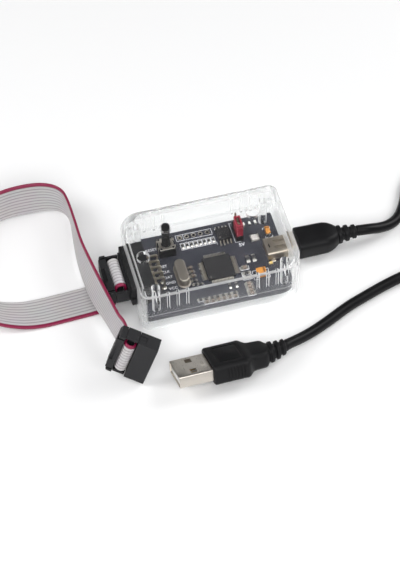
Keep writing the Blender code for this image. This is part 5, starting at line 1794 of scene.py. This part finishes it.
plug_steel = brushed_metal("plug_steel", (0.66, 0.62, 0.56), (0.54, 0.5, 0.45), (0.22, 0.38), (5, 1, 1))
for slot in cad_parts["mini_plug_shell"].material_slots:
    slot.material = plug_steel


# ---------------------------------------------------------------- full-size USB plug
# A folded shell of plated steel with two latch windows in each broad face, a seam below and a
# white insert with four gold contacts. The grip has sunk panels and grooves down its sides.
usb_a_place = usb_a_frame()
USB_A_WIDTH, USB_A_HEIGHT, USB_A_EXPOSED = 12.0 * MM, 4.5 * MM, 12.2 * MM
half_y, half_z = USB_A_WIDTH / 2, USB_A_HEIGHT / 2


def tube_ring(inset, corner, x):
    return upright_ring(half_y - inset, half_z - inset, corner, x, steps=5)


tube_rings = [
    tube_ring(0, 0.5 * MM, 0.1 * MM),
    tube_ring(0, 0.5 * MM, USB_A_EXPOSED - 0.3 * MM),
    tube_ring(0.06 * MM, 0.46 * MM, USB_A_EXPOSED - 0.08 * MM),
    tube_ring(0.14 * MM, 0.4 * MM, USB_A_EXPOSED),
    tube_ring(SHEET - 0.04 * MM, 0.3 * MM, USB_A_EXPOSED),
    tube_ring(SHEET, 0.25 * MM, USB_A_EXPOSED - 0.15 * MM),
    tube_ring(SHEET, 0.25 * MM, 0.6 * MM),
]
windows = bmesh.new()
hole_x, hole_y, hole_half = USB_A_EXPOSED - 5.9 * MM, 3.3 * MM, 1.15 * MM
for side in (-1, 1):
    add_block(
        windows,
        (hole_x - hole_half, side * hole_y - hole_half, -half_z - 1 * MM),
        (hole_x + hole_half, side * hole_y + hole_half, half_z + 1 * MM),
    )
stamp = blocks(((1.6 * MM, -0.9 * MM, half_z - 0.1 * MM), (2.6 * MM, -0.65 * MM, half_z + 1 * MM)),
               ((1.6 * MM, 0.65 * MM, half_z - 0.1 * MM), (2.6 * MM, 0.9 * MM, half_z + 1 * MM)))
stamp_bar = blocks(((1.95 * MM, -0.75 * MM, half_z - 0.1 * MM), (2.2 * MM, 0.75 * MM, half_z + 1 * MM)))
shell = with_cuts(
    "usb_a_tube", loft(tube_rings), [windows, stamp, stamp_bar], plug_steel, None, bevel=0.05 * MM
)
seam_line = blocks(
    (
        (0.2 * MM, -0.04 * MM, -half_z - 0.008 * MM),
        (USB_A_EXPOSED - 0.3 * MM, 0.04 * MM, -half_z + 0.05 * MM),
    )
)
shell_seam = piece("usb_a_seam", seam_line, moulded_epoxy, None, smooth=0)
insert_white = grained("insert_white", (0.78, 0.77, 0.74), (0.7, 0.69, 0.66), (0.35, 0.5), 1500, 0.2)
insert_low = -half_z + SHEET + 0.1 * MM
insert_top = insert_low + 1.7 * MM
inside = half_y - SHEET - 0.1 * MM
insert_block = blocks(((1.0 * MM, -inside, insert_low), (USB_A_EXPOSED - 0.5 * MM, inside, insert_top)))
strips = bmesh.new()
for y in (-3.5 * MM, -1.0 * MM, 1.0 * MM, 3.5 * MM):
    add_block(
        strips,
        (1.4 * MM, y - 0.5 * MM, insert_top - 0.05 * MM),
        (USB_A_EXPOSED - 1.4 * MM, y + 0.5 * MM, insert_top + 0.12 * MM),
    )
insert = piece("usb_a_insert_block", insert_block, insert_white, None, 0.15 * MM)
contact_strips = piece("usb_a_contact_strips", strips, gold_plate, None, 0.08 * MM)
half_w, half_h = 7.7 * MM, 3.85 * MM
stations = [
    (0, half_w - 0.5 * MM, half_h - 0.5 * MM, 1.6 * MM, 0),
    (-0.6 * MM, half_w, half_h, 2.0 * MM, 0),
    (-3 * MM, half_w, half_h, 2.0 * MM, 0),
    (-10.5 * MM, half_w, half_h, 2.0 * MM, 0),
    (-12.6 * MM, half_w, half_h, 2.0 * MM, 0),
    (-14.2 * MM, half_w - 1.6 * MM, half_h - 0.3 * MM, 2.0 * MM, 0),
    (-15.4 * MM, half_w - 2.3 * MM, half_h - 0.4 * MM, 2.0 * MM, 0),
    (-19.6 * MM, half_w - 2.5 * MM, half_h - 0.5 * MM, 2.2 * MM, 0),
    (-20.8 * MM, half_w - 3.8 * MM, half_h - 0.6 * MM, 2.4 * MM, 0),
    (-21.6 * MM, 3.0 * MM, 3.0 * MM, 2.2 * MM, 0),
]
RELIEF_START, RELIEF_LENGTH, RELIEF_BEND = 22.0 * MM, 7.2 * MM, -2.0 * MM
a_rings = grip_rings(stations) + relief_rings(-RELIEF_START, RELIEF_LENGTH, 3.5 * MM, 3, RELIEF_BEND)
side_grooves = bmesh.new()
for side in (-1, 1):
    for i in range(6):
        x = -4.9 * MM - i * 1.15 * MM
        near, far = sorted((side * (half_w - 0.22 * MM), side * (half_w + 1 * MM)))
        add_block(side_grooves, (x - 0.28 * MM, near, -half_h * 0.72), (x + 0.28 * MM, far, half_h * 0.72))
panels = bmesh.new()
for face in (-1, 1):
    near, far = sorted((face * (half_h - 0.18 * MM), face * (half_h + 1 * MM)))
    outline = rounded(4.6 * MM, 4.9 * MM, [1.2 * MM] * 4, 5)
    add_loft(panels, [[(x - 7.0 * MM, y, z) for x, y in outline] for z in (near, far)])
handle = with_cuts("usb_a_handle", loft(a_rings), [side_grooves, panels], grip_pvc, None, smooth=35)
island_rings = []
for inset, z in ((0, half_h - 0.3 * MM), (0, half_h - 0.1 * MM), (0.12 * MM, half_h - 0.02 * MM)):
    outline = rounded(4.1 * MM - inset, 4.4 * MM - inset, [0.9 * MM] * 4, 5)
    island_rings.append([(x - 7.0 * MM, y, z) for x, y in outline])
island = piece("usb_a_panel", loft(island_rings), grip_pvc, None)
usb_a_pieces = [shell, shell_seam, insert, contact_strips, handle, island]
for part in usb_a_pieces:
    part.data.transform(usb_a_place)
    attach(part, "usb_lead")
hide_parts("usb_a_shell")
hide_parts("usb_a_insert")
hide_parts(*(f"usb_a_contact_{i}" for i in (1, 2, 3, 4)))
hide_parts("usb_a_grip")


# ---------------------------------------------------------------- USB cable
# Round four-core cable in a smooth black PVC jacket. It leaves the mini plug, is wound in two
# layers beside the case, each turn lying against the last, and comes back to the full-size plug.
CABLE_DIAMETER = 3.9 * MM
COIL_CENTRE = RIGHT_END + Vector((77.8, 9.0, 0)) * MM
COIL_MIDDLE = 22.0 * MM
COIL_TURNS = 4.6
TO_COIL = (
    (29.8, -0.3, 5.8),
    (33.8, -0.4, 4.6),
    (37.8, 0.6, 3.2),
    (41.6, 2.9, 2.4),
    (44.7, 6.2, 2.1),
    (46.8, 10.2, 2.05),
)
FROM_COIL = (
    (63.8, -18.0, 3.2),
    (56.8, -18.6, 2.2),
    (47.8, -19.2, 2.0),
    (38.8, -20.6, 2.0),
    (29.8, -23.0, 2.0),
    (21.3, -26.0, 2.0),
    (13.3, -29.1, 2.0),
    (5.8, -32.9, 2.05),
    (-0.7, -36.1, 2.3),
    (-5.8, -38.4, 2.9),
    (-9.6, -40.0, 3.7),
)


def eased_third(part, third):
    """How far a smooth change has gone that takes up one third (0, 1 or 2) of a turn."""
    share = min(1.0, max(0.0, part * 3 - third))
    return share * share * (3 - 2 * share)


def coil_points():
    """Lower layer wound inward, then an upper layer wound outward, each turn a cable apart."""
    outer = COIL_MIDDLE + CABLE_DIAMETER
    steps = 24
    entry = math.radians(125)
    points = []
    for degrees, past in ((160, 3.4), (142, 1.3)):
        angle, radius = math.radians(degrees), outer + past * MM
        points.append(Vector((radius * math.cos(angle), radius * math.sin(angle), CABLE_DIAMETER * 0.52)))
    for i in range(int(COIL_TURNS * steps) + 1):
        turn, part = divmod(i / steps, 1)
        angle = entry - 2 * math.pi * i / steps
        if turn < 2:
            ring, layer = turn + eased_third(part, 2), 0
        elif turn == 2:
            ring, layer = 2, eased_third(part, 1)
        else:
            ring, layer = 5 - turn - eased_third(part, 0), 1
        radius = outer - ring * CABLE_DIAMETER
        height = CABLE_DIAMETER * (0.51 + 0.99 * layer)
        points.append(Vector((radius * math.cos(angle), radius * math.sin(angle), height)))
    points.append(Vector((-7.0 * MM, -outer - 1.2 * MM, CABLE_DIAMETER * 1.33)))
    return [COIL_CENTRE + point for point in points]


leave = mini_place @ Vector((-MINI_GRIP_LENGTH - 2.0 * MM - MINI_RELIEF_LENGTH + 0.5 * MM, 0, 0))
arrive = usb_a_place @ Vector((-RELIEF_START - RELIEF_LENGTH - 0.9 * MM, RELIEF_BEND * 1.2, 0))
inside_relief = usb_a_place @ Vector((-RELIEF_START - RELIEF_LENGTH + 0.8 * MM, RELIEF_BEND * 0.82, 0))
knots = [leave, *(RIGHT_END + Vector(point) * MM for point in TO_COIL), *coil_points()]
for _ in range(3):
    eased = [(a + b * 2 + c) / 4 for a, b, c in zip(knots, knots[1:], knots[2:])]
    knots[2 : len(TO_COIL) + 1] = eased[1 : len(TO_COIL)]
knots += [*(RIGHT_END + Vector(point) * MM for point in FROM_COIL), arrive, inside_relief]
cable_path = smooth_curve(knots, 4)
jacket = bpy.data.curves.new("usb_cable", "CURVE")
jacket.dimensions = "3D"
jacket.bevel_depth = CABLE_DIAMETER / 2
jacket.bevel_resolution = 6
jacket.use_fill_caps = True
spline = jacket.splines.new("POLY")
spline.points.add(len(cable_path) - 1)
for point, place in zip(spline.points, cable_path):
    point.co = (*place, 1)
jacket_pvc = grained(
    "jacket_pvc", (0.005, 0.005, 0.0055), (0.008, 0.008, 0.009), (0.3, 0.46), 1400, 0.25, shine=0.2
)
jacket.materials.append(jacket_pvc)
cable_nodes = ("usb_cable_to_coil", "usb_cable_to_plug", "usb_cable_coil")
cable = add_object("usb_cable", jacket, "usb_lead", cable_nodes)
